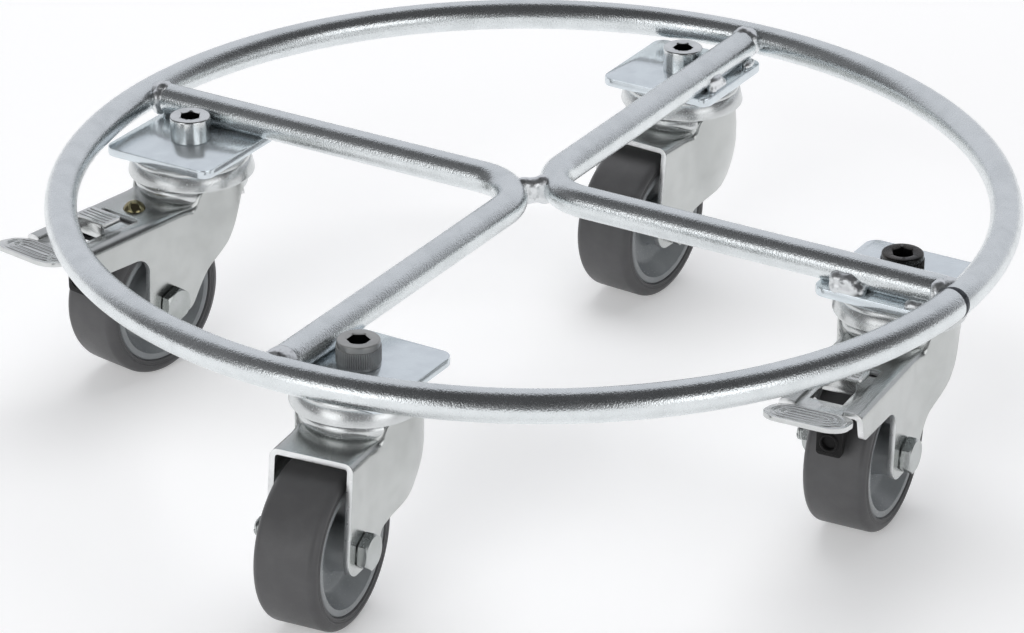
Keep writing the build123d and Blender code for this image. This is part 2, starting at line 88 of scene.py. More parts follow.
class Graph:
    """A node tree that is being wired."""

    def __init__(self, tree: bpy.types.NodeTree) -> None:
        """Take over a tree and empty it."""
        self.tree = tree
        tree.nodes.clear()

    def add(self, kind: str, inputs: dict[Any, Any] | None = None, **settings: Any) -> bpy.types.Node:
        """Add a node, set it and wire its inputs.

        Args:
            kind: Node type.
            inputs: Socket name or number, with the value or the socket that feeds it.
            settings: Properties of the node itself.

        Returns:
            The new node.
        """
        node = self.tree.nodes.new(kind)
        for key, value in settings.items():
            setattr(node, key, value)
        for key, value in (inputs or {}).items():
            if isinstance(value, Socket):
                self.tree.links.new(value, node.inputs[key])
            else:
                node.inputs[key].default_value = value
        return node

    def noise(self, coords: Socket, size: float, detail: float = 2.0) -> Socket:
        """Noise with features of a size in millimetres."""
        inputs = {"Vector": coords, "Scale": 1 / (size * MM), "Detail": detail}
        return self.add("ShaderNodeTexNoise", inputs).outputs[0]

    def remap(self, value: Socket, source: Pair, target: Pair) -> Socket:
        """Clamped linear map of a value from one range to another.

        Args:
            value: Value to map.
            source: Range it comes from.
            target: Range it goes to.

        Returns:
            The mapped value.
        """
        ends = {"Value": value, "From Min": source[0], "From Max": source[1]}
        ends |= {"To Min": target[0], "To Max": target[1]}
        return self.add("ShaderNodeMapRange", ends).outputs[0]

    def blend(self, share: Socket, first: Any, second: Any) -> Socket:
        """Mix of two colours by a share from 0 to 1."""
        ends = [value if isinstance(value, Socket) else (*value, 1.0) for value in (first, second)]
        return self.add("ShaderNodeMix", {0: share, 6: ends[0], 7: ends[1]}, data_type="RGBA").outputs[2]

    def calc(self, operation: str, *values: Any) -> Socket:
        """Result of a math node on numbers or sockets."""
        return self.add("ShaderNodeMath", dict(enumerate(values)), operation=operation).outputs[0]


@dataclass(frozen=True)
class Finish(ABC):
    """A surface in two tones with a fine grain, and the material slot it belongs to."""

    name: str
    slot: str
    colour: Colour
    stain: Colour
    roughness: Pair
    grain: float
    relief: float
    patch: float
    patch_edges: Pair
    patch_detail: float
    octaves: float

    @abstractmethod
    def constants(self) -> dict[str, float]:
        """Fixed values of the shader."""

    def material(self) -> bpy.types.Material:
        """Give the finish's material, made once.

        Returns:
            The material.
        """
        made = bpy.data.materials.get(f"{self.name}_finish")
        if made is None:
            made = bpy.data.materials.new(f"{self.name}_finish")
            made.use_nodes = True
            self.wire(Graph(made.node_tree))
        return made

    def wire(self, graph: Graph) -> None:
        """Wire tone patches, gloss and grain into a shader.

        Args:
            graph: The material's empty graph.
        """
        coords = graph.add("ShaderNodeTexCoord").outputs["Object"]
        patches = graph.remap(graph.noise(coords, self.patch, self.patch_detail), self.patch_edges, (0, 1))
        grains = graph.noise(coords, self.grain, self.octaves)
        bump = graph.add("ShaderNodeBump", {"Height": grains, "Distance": self.relief * MM, "Strength": 1.0})
        inputs = {
            "Base Color": graph.blend(patches, self.colour, self.stain),
            "Roughness": graph.remap(grains, NOISE_SPAN, self.roughness),
            "Normal": bump.outputs[0],
        }
        shader = graph.add("ShaderNodeBsdfPrincipled", inputs | self.constants())
        graph.add("ShaderNodeOutputMaterial", {"Surface": shader.outputs[0]})


@dataclass(frozen=True)
class MetalFinish(Finish):
    """Plated or bare metal: fine grain, patches of another tone and uneven gloss."""

    patch: float = 7.0
    patch_edges: Pair = (0.42, 0.68)
    patch_detail: float = 3.0
    octaves: float = 3.0
    metal: float = 1.0

    def constants(self) -> dict[str, float]:
        """How much of it shines as metal."""
        return {"Metallic": self.metal}


@dataclass(frozen=True)
class PolymerFinish(Finish):
    """Moulded plastic or rubber: matt skin with fine pores and a little dust."""

    patch: float = 5.0
    patch_edges: Pair = (0.4, 0.75)
    patch_detail: float = 4.0
    octaves: float = 2.0
    specular: float = 0.5

    def constants(self) -> dict[str, float]:
        """How much of it shines."""
        return {"Specular IOR Level": self.specular}


class Finishes:
    """The finishes of the dolly."""

    ROD = MetalFinish(
        "zinc_rod", "zinc_rod", (0.80, 0.835, 0.845), (0.73, 0.765, 0.775), (0.20, 0.29), 0.50, 0.075,
        octaves=1.0,
    )
    WELD = MetalFinish(
        "weld", "weld_bead", (0.82, 0.84, 0.85), (0.42, 0.43, 0.44), (0.28, 0.42), 1.1, 0.16,
        patch=2.6, patch_edges=(0.60, 0.72),
    )
    # Dark band over the ring's seam: partly the weld's scar, partly a painted shadow of the seam's gap.
    SEAM_SCAR_AND_SHADE = MetalFinish(
        "seam", "weld_bead", (0.10, 0.11, 0.12), (0.05, 0.05, 0.06), (0.40, 0.55), 0.7, 0.09, patch=1.5
    )
    PLATE = MetalFinish(
        "plate", "zinc_sheet", (0.80, 0.865, 0.905), (0.74, 0.80, 0.84), (0.15, 0.20), 0.8, 0.004, metal=0.75
    )
    PRESSED = MetalFinish(
        "pressed", "pressed_zinc", (0.56, 0.575, 0.565), (0.52, 0.535, 0.525), (0.24, 0.27), 0.6, 0.001
    )
    LEVER = MetalFinish(
        "lever", "pressed_zinc", (0.74, 0.755, 0.75), (0.66, 0.675, 0.67), (0.20, 0.24), 0.6, 0.002,
        metal=0.85,
    )
    RACE = MetalFinish(
        "race", "pressed_zinc", (0.74, 0.76, 0.76), (0.67, 0.69, 0.69), (0.20, 0.28), 0.6, 0.010, metal=0.75
    )
    SCREW = MetalFinish(
        "screw", "screw_steel", (0.78, 0.80, 0.80), (0.66, 0.68, 0.68), (0.15, 0.22), 0.5, 0.010
    )
    BOLT = MetalFinish(
        "bolt", "screw_steel", (0.50, 0.52, 0.515), (0.42, 0.44, 0.43), (0.20, 0.28), 0.5, 0.008
    )
    DARK_SCREW = MetalFinish(
        "dark_screw", "screw_steel", (0.38, 0.385, 0.38), (0.28, 0.28, 0.28), (0.20, 0.27), 0.5, 0.012,
        metal=0.45,
    )
    BLACK_SCREW = MetalFinish(
        "black_screw", "screw_steel", (0.075, 0.070, 0.065), (0.03, 0.03, 0.03), (0.22, 0.34), 0.5, 0.015
    )
    BEARING = MetalFinish(
        "bearing", "bearing_steel", (0.45, 0.45, 0.46), (0.30, 0.29, 0.28), (0.25, 0.40), 0.6, 0.01
    )
    RIVET = MetalFinish(
        "rivet", "rivet_yellow", (0.32, 0.285, 0.165), (0.18, 0.155, 0.085), (0.08, 0.15), 0.6, 0.01
    )
    # Much lighter than the pressed sheet, on cut and rounded edges: a painted edge highlight.
    EDGE_HIGHLIGHT = MetalFinish(
        "edge_highlight", "pressed_zinc", (0.86, 0.87, 0.87), (0.72, 0.73, 0.73), (0.26, 0.40), 0.5, 0.02
    )
    # Near-black walls of a screw's socket: painted shade in the recess.
    SOCKET = MetalFinish(
        "socket", "screw_steel", (0.10, 0.10, 0.10), (0.05, 0.05, 0.05), (0.30, 0.42), 0.5, 0.02
    )
    TYRE = PolymerFinish(
        "tyre", "grey_tread", (0.094, 0.094, 0.096), (0.108, 0.108, 0.110), (0.36, 0.46), 0.5, 0.02
    )
    RIM = PolymerFinish(
        "rim", "rim_plastic", (0.33, 0.35, 0.36), (0.36, 0.38, 0.39), (0.22, 0.28), 0.6, 0.001
    )
    SHOE = PolymerFinish(
        "shoe", "shoe_plastic", (0.008, 0.008, 0.008), (0.014, 0.014, 0.014), (0.45, 0.55), 0.6, 0.012,
        specular=0.2,
    )


# Meshes


def spun(degrees: float, axis: str = "Z") -> Matrix:
    """Turn about an axis by an angle in degrees."""
    return Matrix.Rotation(math.radians(degrees), 4, axis)


def circle(radius: float, steps: int, level: float = 0.0) -> list[Vector]:
    """Points on a level circle round Z."""
    turns = (2 * math.pi * k / steps for k in range(steps))
    return [Vector((radius * math.cos(a), radius * math.sin(a), level)) for a in turns]


def arc(centre: Pair, radius: float, start: float, end: float, steps: int = 6) -> list[Pair]:
    """Points on an arc from one angle to another, in degrees."""
    angles = (math.radians(start + (end - start) * k / steps) for k in range(steps + 1))
    return [(centre[0] + radius * math.cos(a), centre[1] + radius * math.sin(a)) for a in angles]


def bridge(bm: BMesh, low: Loop, high: Loop) -> list[bmesh.types.BMFace]:
    """Join two closed loops of equal length with faces, three-cornered where a loop is a single point.

    Args:
        bm: The mesh that gets the faces.
        low: First loop.
        high: Second loop.

    Returns:
        The new faces.
    """
    faces = []
    for k in range(len(low)):
        after = (k + 1) % len(low)
        corners = list(dict.fromkeys((low[k], low[after], high[after], high[k])))
        if len(corners) > 2:
            faces.append(bm.faces.new(corners))
    return faces


def lathe(profile: Sequence[Pair], steps: int = 96, closed: bool = True) -> BMesh:
    """Turn a profile about Z.

    Args:
        profile: Points (radius, height); a point on the axis becomes a pole.
        steps: Steps round the turn.
        closed: Whether the last point joins the first.

    Returns:
        The turned mesh.
    """
    bm = bmesh.new()
    rings = []
    for radius, height in profile:
        if radius < SAME_POINT:
            rings.append([bm.verts.new((0, 0, height))] * steps)
        else:
            rings.append([bm.verts.new(point) for point in circle(radius, steps, height)])
    if closed:
        rings.append(rings[0])
    for low, high in zip(rings, rings[1:]):
        bridge(bm, low, high)
    bmesh.ops.recalc_face_normals(bm, faces=bm.faces)
    return bm


def hex_body(flats: float, height: float, lead: float, both_ends: bool, bore: float = 0.0) -> BMesh:
    """Make a hexagon bar with blunt corners, cut with turned chamfers, as on bolt heads and nuts.

    Args:
        flats: Size across flats.
        height: Height along Z.
        lead: How far inside the flats the chamfer's circle lies.
        both_ends: Whether the lower end is chamfered too.
        bore: Radius of a hole through it, or zero.

    Returns:
        The mesh, standing on zero.
    """
    shares = [2 * k / (HEX_FLAT_STEPS - 1) - 1 for k in range(HEX_FLAT_STEPS)]
    turns = [(60 * side + 30, HEX_FLAT_HALF_ANGLE * share) for side in range(6) for share in shares]
    slope = math.tan(math.radians(HEX_CHAMFER_ANGLE))
    mouth = 0.5
    inner = flats / 2 - lead
    bm = bmesh.new()

    def ring(radius: float | None, level: float, fall: float = 0.0) -> list[bmesh.types.BMVert]:
        """Points of a circle, or of the hexagon where no radius is given, its corners falling off.

        Args:
            radius: Radius of the circle, or none for the hexagon.
            level: Height of the ring.
            fall: How strongly the corners fall off: 1 down, -1 up.

        Returns:
            The points.
        """
        verts = []
        for flat, side in turns:
            a = math.radians(flat + side)
            reach = flats / 2 / math.cos(math.radians(side)) if radius is None else radius
            drop = fall * (reach - inner) * slope
            verts.append(bm.verts.new((reach * math.cos(a), reach * math.sin(a), level - drop)))
        return verts

    loops = [ring(inner, 0)] if both_ends else []
    loops += [ring(None, 0, -1 if both_ends else 0), ring(None, height, 1), ring(inner, height)]
    if bore:
        loops += [ring(bore + mouth, height), ring(bore, height - mouth), ring(bore, 0)]
        loops.append(loops[0])
    for low, high in zip(loops, loops[1:]):
        bridge(bm, low, high)
    if not bore:
        bm.faces.new(loops[-1])
        bm.faces.new(reversed(loops[0]))
    bmesh.ops.recalc_face_normals(bm, faces=bm.faces)
    return bm


def rounded_outline(corners: Sequence[Triple], step: float) -> list[Vector]:
    """Walk round a closed outline.

    Args:
        corners: Corners (x, y, radius).
        step: Longest distance between two points.

    Returns:
        Points round the outline, starting at the first corner.
    """
    rough: list[Vector] = []
    for i, (x, y, radius) in enumerate(corners):
        here = Vector((x, y))
        if radius == 0:
            rough.append(here)
            continue
        before = (Vector(corners[i - 1][:2]) - here).normalized()
        after = (Vector(corners[(i + 1) % len(corners)][:2]) - here).normalized()
        half = before.angle(after) / 2
        centre = here + (before + after).normalized() * (radius / math.sin(half))
        start = here + before * (radius / math.tan(half)) - centre
        sweep = math.pi - 2 * half
        turn = sweep if start.cross(here + after - centre) > 0 else -sweep
        count = max(3, math.ceil(sweep * radius / step))
        for k in range(count + 1):
            rough.append(centre + Matrix.Rotation(turn * k / count, 2) @ start)
    points = []
    for i, here in enumerate(rough):
        there = rough[(i + 1) % len(rough)]
        count = max(1, math.ceil((there - here).length / step))
        points += [here.lerp(there, k / count) for k in range(count)]
    return points


def rectangle(half_x: float, half_y: float, radius: float, step: float) -> list[Vector]:
    """Points round a rectangle with rounded corners, about its centre."""
    signs = ((1, 1), (-1, 1), (-1, -1), (1, -1))
    return rounded_outline([(half_x * x, half_y * y, radius) for x, y in signs], step)


def inside(point: Vector, outline: Sequence[Vector]) -> bool:
    """Tell whether a point lies inside an outline.

    Args:
        point: The point.
        outline: Points round the outline.

    Returns:
        Whether it lies inside.
    """
    crossings = 0
    for a, b in zip(outline, [*outline[1:], outline[0]]):
        if (a.y > point.y) != (b.y > point.y):
            crossings += point.x < a.x + (point.y - a.y) * (b.x - a.x) / (b.y - a.y)
    return crossings % 2 == 1


def cad_copy(node: str) -> BMesh:
    """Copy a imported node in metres, with its corners welded and its flat areas joined.

    Args:
        node: Name of the node.

    Returns:
        The copy.
    """
    bm = bmesh.new()
    bm.from_mesh(frame["nodes"][node].data)
    bmesh.ops.remove_doubles(bm, verts=bm.verts, dist=SAME_POINT)
    bmesh.ops.dissolve_limit(bm, angle_limit=math.radians(FLAT_ANGLE), verts=bm.verts, edges=bm.edges)
    return bm


def to_mesh(bm: BMesh, name: str) -> bpy.types.Mesh:
    """Turn a working mesh into a mesh and let go of it.

    Args:
        bm: The working mesh, used up.
        name: Name of the mesh.

    Returns:
        The mesh.
    """
    mesh = bpy.data.meshes.new(name)
    bm.to_mesh(mesh)
    bm.free()
    return mesh


def settled(obj: bpy.types.Object) -> BMesh:
    """Evaluate a helper object's modifiers into a working mesh and drop the helper.

    Args:
        obj: The helper, used up.

    Returns:
        The working mesh.
    """
    bpy.context.scene.collection.objects.link(obj)
    graph = bpy.context.evaluated_depsgraph_get()
    mesh = bpy.data.meshes.new_from_object(obj.evaluated_get(graph), depsgraph=graph)
    source = obj.data
    bpy.data.objects.remove(obj)
    bpy.data.meshes.remove(source)
    bm = bmesh.new()
    bm.from_mesh(mesh)
    bpy.data.meshes.remove(mesh)
    return bm


def faced(bm: BMesh, face: bmesh.types.BMFace, outward: Triple) -> BMesh:
    """Turn the faces of an open sheet all one way, so that the given face looks outward.

    Args:
        bm: The sheet.
        face: The face that decides.
        outward: Where it has to look.

    Returns:
        The sheet.
    """
    bmesh.ops.recalc_face_normals(bm, faces=bm.faces)
    if face.normal.dot(Vector(outward)) < 0:
        bmesh.ops.reverse_faces(bm, faces=bm.faces)
    return bm


def rounded(bm: BMesh, width: float, angle: float, sheet: float = 0.0, bright: bool = False) -> BMesh:
    """Round a mesh's sharp edges, after giving an open sheet its thickness.

    Args:
        bm: The mesh, used up.
        width: Width of the rounding, in the mesh's own unit.
        angle: Edges sharper than this many degrees are rounded.
        sheet: Thickness added inwards, or zero.
        bright: Whether cut edges take the piece's second finish, a painted edge highlight: the rim of a
            thickened sheet, or the rounded edges of a solid piece.

    Returns:
        The rounded mesh.
    """
    helper = bpy.data.objects.new("rounding", to_mesh(bm, "rounding"))
    for _ in range(2 if bright else 0):
        helper.data.materials.append(None)
    if sheet:
        wall = helper.modifiers.new("wall", "SOLIDIFY")
        wall.thickness = sheet
        wall.offset = -1
        wall.use_even_offset = True
        wall.material_offset_rim = 1 if bright else 0
    bevel = helper.modifiers.new("bevel", "BEVEL")
    bevel.width = width
    bevel.segments = 2
    bevel.limit_method = "ANGLE"
    bevel.angle_limit = math.radians(angle)
    bevel.material = 1 if bright and not sheet else -1
    return settled(helper)


def gather(parts: Iterable[tuple[BMesh, Matrix]]) -> BMesh:
    """Put several meshes, each under its own matrix, into one.

    Args:
        parts: Each mesh, used up, with its matrix.

    Returns:
        The joined mesh.
    """
    whole = bmesh.new()
    for bm, matrix in parts:
        bm.transform(matrix)
        mesh = to_mesh(bm, "part")
        whole.from_mesh(mesh)
        bpy.data.meshes.remove(mesh)
    return whole


def place(
    name: str,
    body: str,
    shape: BMesh,
    finish: Finish,
    stands_for: Sequence[str] = (),
    matrix: Matrix = TO_METRES,
    sharp: float = CRISP_ANGLE,
    edge: Finish | None = None,
) -> None:
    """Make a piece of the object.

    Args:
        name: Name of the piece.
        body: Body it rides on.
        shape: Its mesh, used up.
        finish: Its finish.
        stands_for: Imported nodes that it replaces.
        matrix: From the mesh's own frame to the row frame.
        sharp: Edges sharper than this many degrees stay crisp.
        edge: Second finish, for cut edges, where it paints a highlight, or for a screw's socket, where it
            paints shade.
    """
    mesh = to_mesh(shape, name)
    mesh.transform(matrix)
    mesh.shade_smooth()
    mesh.set_sharp_from_angle(angle=math.radians(sharp))
    indices = [face.material_index for face in mesh.polygons] if edge else []
    mesh.materials.clear()
    for coat in filter(None, (finish, edge)):
        mesh.materials.append(coat.material())
    for face, index in zip(mesh.polygons, indices):
        face.material_index = index
    piece = bpy.data.objects.new(name, mesh)
    bpy.context.scene.collection.objects.link(piece)
    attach(piece, body)
    if stands_for:
        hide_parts(*stands_for)
    log.info("%s: %d faces on %s", name, len(mesh.polygons), body)


def paint(node: str, finish: Finish) -> None:
    """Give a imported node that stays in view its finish."""
    frame["nodes"][node].data.materials[0] = finish.material()


# Growing trees


class Growth:
    """A geometry tree that grows a mesh along a path of edges."""

    def __init__(self, name: str, numbers: dict[str, float]) -> None:
        """Start a tree with a path input, named number inputs and a material input.

        Args:
            name: Name of the tree.
            numbers: Names of the number inputs, with the values they start from.
        """
        self.tree = bpy.data.node_groups.new(name, "GeometryNodeTree")
        self.graph = Graph(self.tree)
        face = self.tree.interface
        face.new_socket("Path", in_out="INPUT", socket_type="NodeSocketGeometry")
        for label, value in numbers.items():
            kind = "NodeSocketInt" if isinstance(value, int) else "NodeSocketFloat"
            face.new_socket(label, in_out="INPUT", socket_type=kind).default_value = value
        face.new_socket("Material", in_out="INPUT", socket_type="NodeSocketMaterial")
        face.new_socket("Geometry", in_out="OUTPUT", socket_type="NodeSocketGeometry")
        self.given = self.graph.add("NodeGroupInput").outputs

    def line(self) -> Socket:
        """The path as a curve."""
        return self.graph.add("GeometryNodeMeshToCurve", {"Mesh": self.given["Path"]}).outputs[0]

    def close(self, geometry: Socket) -> None:
        """End the tree: realise, shade and set the material.

        Args:
            geometry: What the tree has grown.
        """
        real = self.graph.add("GeometryNodeRealizeInstances", {"Geometry": geometry})
        even = {"Geometry": real.outputs[0], "Shade Smooth": True}
        soft = self.graph.add("GeometryNodeSetShadeSmooth", even)
        done = {"Geometry": soft.outputs[0], "Material": self.given["Material"]}
        painted = self.graph.add("GeometryNodeSetMaterial", done)
        self.graph.add("NodeGroupOutput", {"Geometry": painted.outputs[0]})

    def grow(self, paths: Iterable[tuple[Sequence[Vector], bool]], finish: Finish, **numbers: float) -> BMesh:
        """Grow the tree along paths.

        Args:
            paths: Points of each path and whether it is a loop.
            finish: Finish of the result.
            numbers: Values of the named inputs.

        Returns:
            The grown mesh, in the paths' unit.
        """
        base = bmesh.new()
        for points, loop in paths:
            verts = [base.verts.new(p) for p in points]
            for a, b in zip(verts, verts[1:]):
                base.edges.new((a, b))
            if loop:
                base.edges.new((verts[-1], verts[0]))
        helper = bpy.data.objects.new("growth", to_mesh(base, "growth"))
        modifier = helper.modifiers.new("growth", "NODES")
        modifier.node_group = self.tree
        values = {"Material": finish.material(), **numbers}
        for item in self.tree.interface.items_tree:
            if item.item_type == "SOCKET" and item.in_out == "INPUT" and item.name in values:
                modifier[item.identifier] = values[item.name]
        grown = settled(helper)
        for face in grown.faces:
            face.material_index = 0
        return grown


def rod_growth() -> Growth:
    """A round rod along each path, capped at open ends.

    Returns:
        The tree, with the rod's radius and its number of sides as inputs.
    """
    growth = Growth("rod_sweep", {"Radius": 1.0, "Sides": 32})
    add = growth.graph.add
    ring = {"Resolution": growth.given["Sides"], "Radius": growth.given["Radius"]}
    profile = add("GeometryNodeCurvePrimitiveCircle", ring)
    sweep = {"Curve": growth.line(), "Profile Curve": profile.outputs["Curve"], "Fill Caps": True}
    growth.close(add("GeometryNodeCurveToMesh", sweep).outputs[0])
    return growth


def rib_growth() -> Growth:
    """Upright ribs spread evenly along each path, for knurled heads.

    Returns:
        The tree, with the count, radius and height of the ribs as inputs.
    """
    growth = Growth("knurl_ribs", {"Count": 60, "Radius": 0.3, "Height": 5.0})
    add = growth.graph.add
    points = add("GeometryNodeCurveToPoints", {"Curve": growth.line(), "Count": growth.given["Count"]})
    size = {"Vertices": 6, "Radius": growth.given["Radius"], "Depth": growth.given["Height"]}
    rib = add("GeometryNodeMeshCylinder", size)
    spread = {"Points": points.outputs["Points"], "Instance": rib.outputs["Mesh"]}
    growth.close(add("GeometryNodeInstanceOnPoints", spread).outputs[0])
    return growth


def weld_growth() -> Growth:
    """A weld bead: drops of uneven size along each path, melted into one another.

    Returns:
        The tree, with the size, spacing, unevenness and seed of the drops and the fineness and
        calm of the melt as inputs.
    """
    sizes = {"Pitch": 1.0, "Drop": 1.6, "Spread": 0.3, "Stray": 0.3, "Seed": 1, "Grain": 0.3, "Calm": 4}
    growth = Growth("weld_bead", sizes)
    add, calc = growth.graph.add, growth.graph.calc
    given = growth.given
    spaced = {"Curve": growth.line(), "Length": given["Pitch"]}
    points = add("GeometryNodeCurveToPoints", spaced, mode="LENGTH")
    ends = {2: calc("SUBTRACT", 1.0, given["Spread"]), 3: calc("ADD", 1.0, given["Spread"])}
    scale = add("FunctionNodeRandomValue", ends | {"Seed": given["Seed"]}, data_type="FLOAT")
    back = calc("MULTIPLY", given["Stray"], -1.0)
    lowest = add("ShaderNodeCombineXYZ", {0: back, 1: back, 2: back}).outputs[0]
    highest = add("ShaderNodeCombineXYZ", {k: given["Stray"] for k in range(3)}).outputs[0]
    ends = {0: lowest, 1: highest, "Seed": given["Seed"]}
    stray = add("FunctionNodeRandomValue", ends, data_type="FLOAT_VECTOR")
    moved = {"Geometry": points.outputs["Points"], "Offset": stray.outputs[0]}
    drops = add("GeometryNodeSetPosition", moved)
    drop = add("GeometryNodeMeshIcoSphere", {"Radius": given["Drop"], "Subdivisions": 3})
    spread = {"Points": drops.outputs[0], "Instance": drop.outputs["Mesh"], "Scale": scale.outputs[1]}
    lumps = add("GeometryNodeInstanceOnPoints", spread)
    real = add("GeometryNodeRealizeInstances", {"Geometry": lumps.outputs[0]})
    fog = {"Mesh": real.outputs[0], "Density": 1.0, "Voxel Size": given["Grain"]}
    fog["Interior Band Width"] = given["Grain"]
    volume = add("GeometryNodeMeshToVolume", fog, resolution_mode="VOXEL_SIZE")
    cut = {"Volume": volume.outputs[0], "Threshold": 0.1}
    skin = add("GeometryNodeVolumeToMesh", cut, resolution_mode="GRID")
    spot = add("GeometryNodeInputPosition").outputs[0]
    calm = add("GeometryNodeBlurAttribute", {"Iterations": given["Calm"]}, data_type="FLOAT_VECTOR")
    growth.tree.links.new(spot, next(i for i in calm.inputs if i.enabled and i.name == "Value"))
    melted = next(o for o in calm.outputs if o.enabled)
    growth.close(add("GeometryNodeSetPosition", {"Geometry": skin.outputs[0], "Position": melted}).outputs[0])
    return growth


@dataclass
class Growths:
    """The growing trees that the sub-assemblies share."""

    rod: Growth = field(default_factory=rod_growth)
    rib: Growth = field(default_factory=rib_growth)
    weld: Growth = field(default_factory=weld_growth)


# Welded frame


@dataclass
class RodFrame:
    """The ring and the two bent bars."""

    growths: Growths
    bend_radius: float = 18.1
    cut_rounding: float = 0.5
    sides: int = 40
    ring_steps: int = 240
    leg_steps: int = 30
    bend_steps: int = 24

    def __post_init__(self) -> None:
        """Read the rod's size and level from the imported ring."""
        low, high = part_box("ring")
        self.rod_radius = (high.z - low.z) / 2 / MM
        self.level = (high.z + low.z) / 2 / MM
        self.ring_radius = (high.x - low.x) / 2 / MM - self.rod_radius
        self.bar_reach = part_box("right_bar")[1].x / MM

    def build(self) -> None:
        """Place the ring and the bars."""
        hoop = circle(self.ring_radius, self.ring_steps, self.level)
        place("rod_ring", "frame", self.sweep(hoop, True), Finishes.ROD, ["ring"])
        for node, side in (("right_bar", 1), ("left_bar", -1)):
            bar = rounded(self.sweep(self.bar_route(side), False), self.cut_rounding, CUT_ANGLE)
            place(f"bent_{node}", "frame", bar, Finishes.ROD, [node])

    def sweep(self, route: Sequence[Vector], loop: bool) -> BMesh:
        """Sweep the rod along a route."""
        return self.growths.rod.grow([(route, loop)], Finishes.ROD, Radius=self.rod_radius, Sides=self.sides)

    def bar_route(self, side: int) -> list[Vector]:
        """Points along one bar, from its end on X round the bend to its end on Y.

        Args:
            side: 1 for the right bar, -1 for the left one.

        Returns:
            The points.
        """
        bend = self.bend_radius
        leg = [self.bar_reach - (self.bar_reach - bend) * k / self.leg_steps for k in range(self.leg_steps)]
        angles = [math.pi / 2 * k / self.bend_steps for k in range(self.bend_steps + 1)]
        curve = [(bend - bend * math.sin(a), bend - bend * math.cos(a)) for a in angles]
        flat = [(x, 0.0) for x in leg] + curve + [(0.0, y) for y in reversed(leg)]
        return [Vector((side * x, side * y, self.level)) for x, y in flat]


@dataclass(frozen=True)
class Bead:
    """How a weld bead turned out: size, spacing, unevenness and straying of its drops."""

    drop: float
    pitch: float
    spread: float
    stray: float
    seed: int


@dataclass(frozen=True)
class EndBead:
    """The weld at one bar end: where it lies, how far round it runs and its filler."""

    angle: float
    run: Pair
    collar: float
    bead: Bead


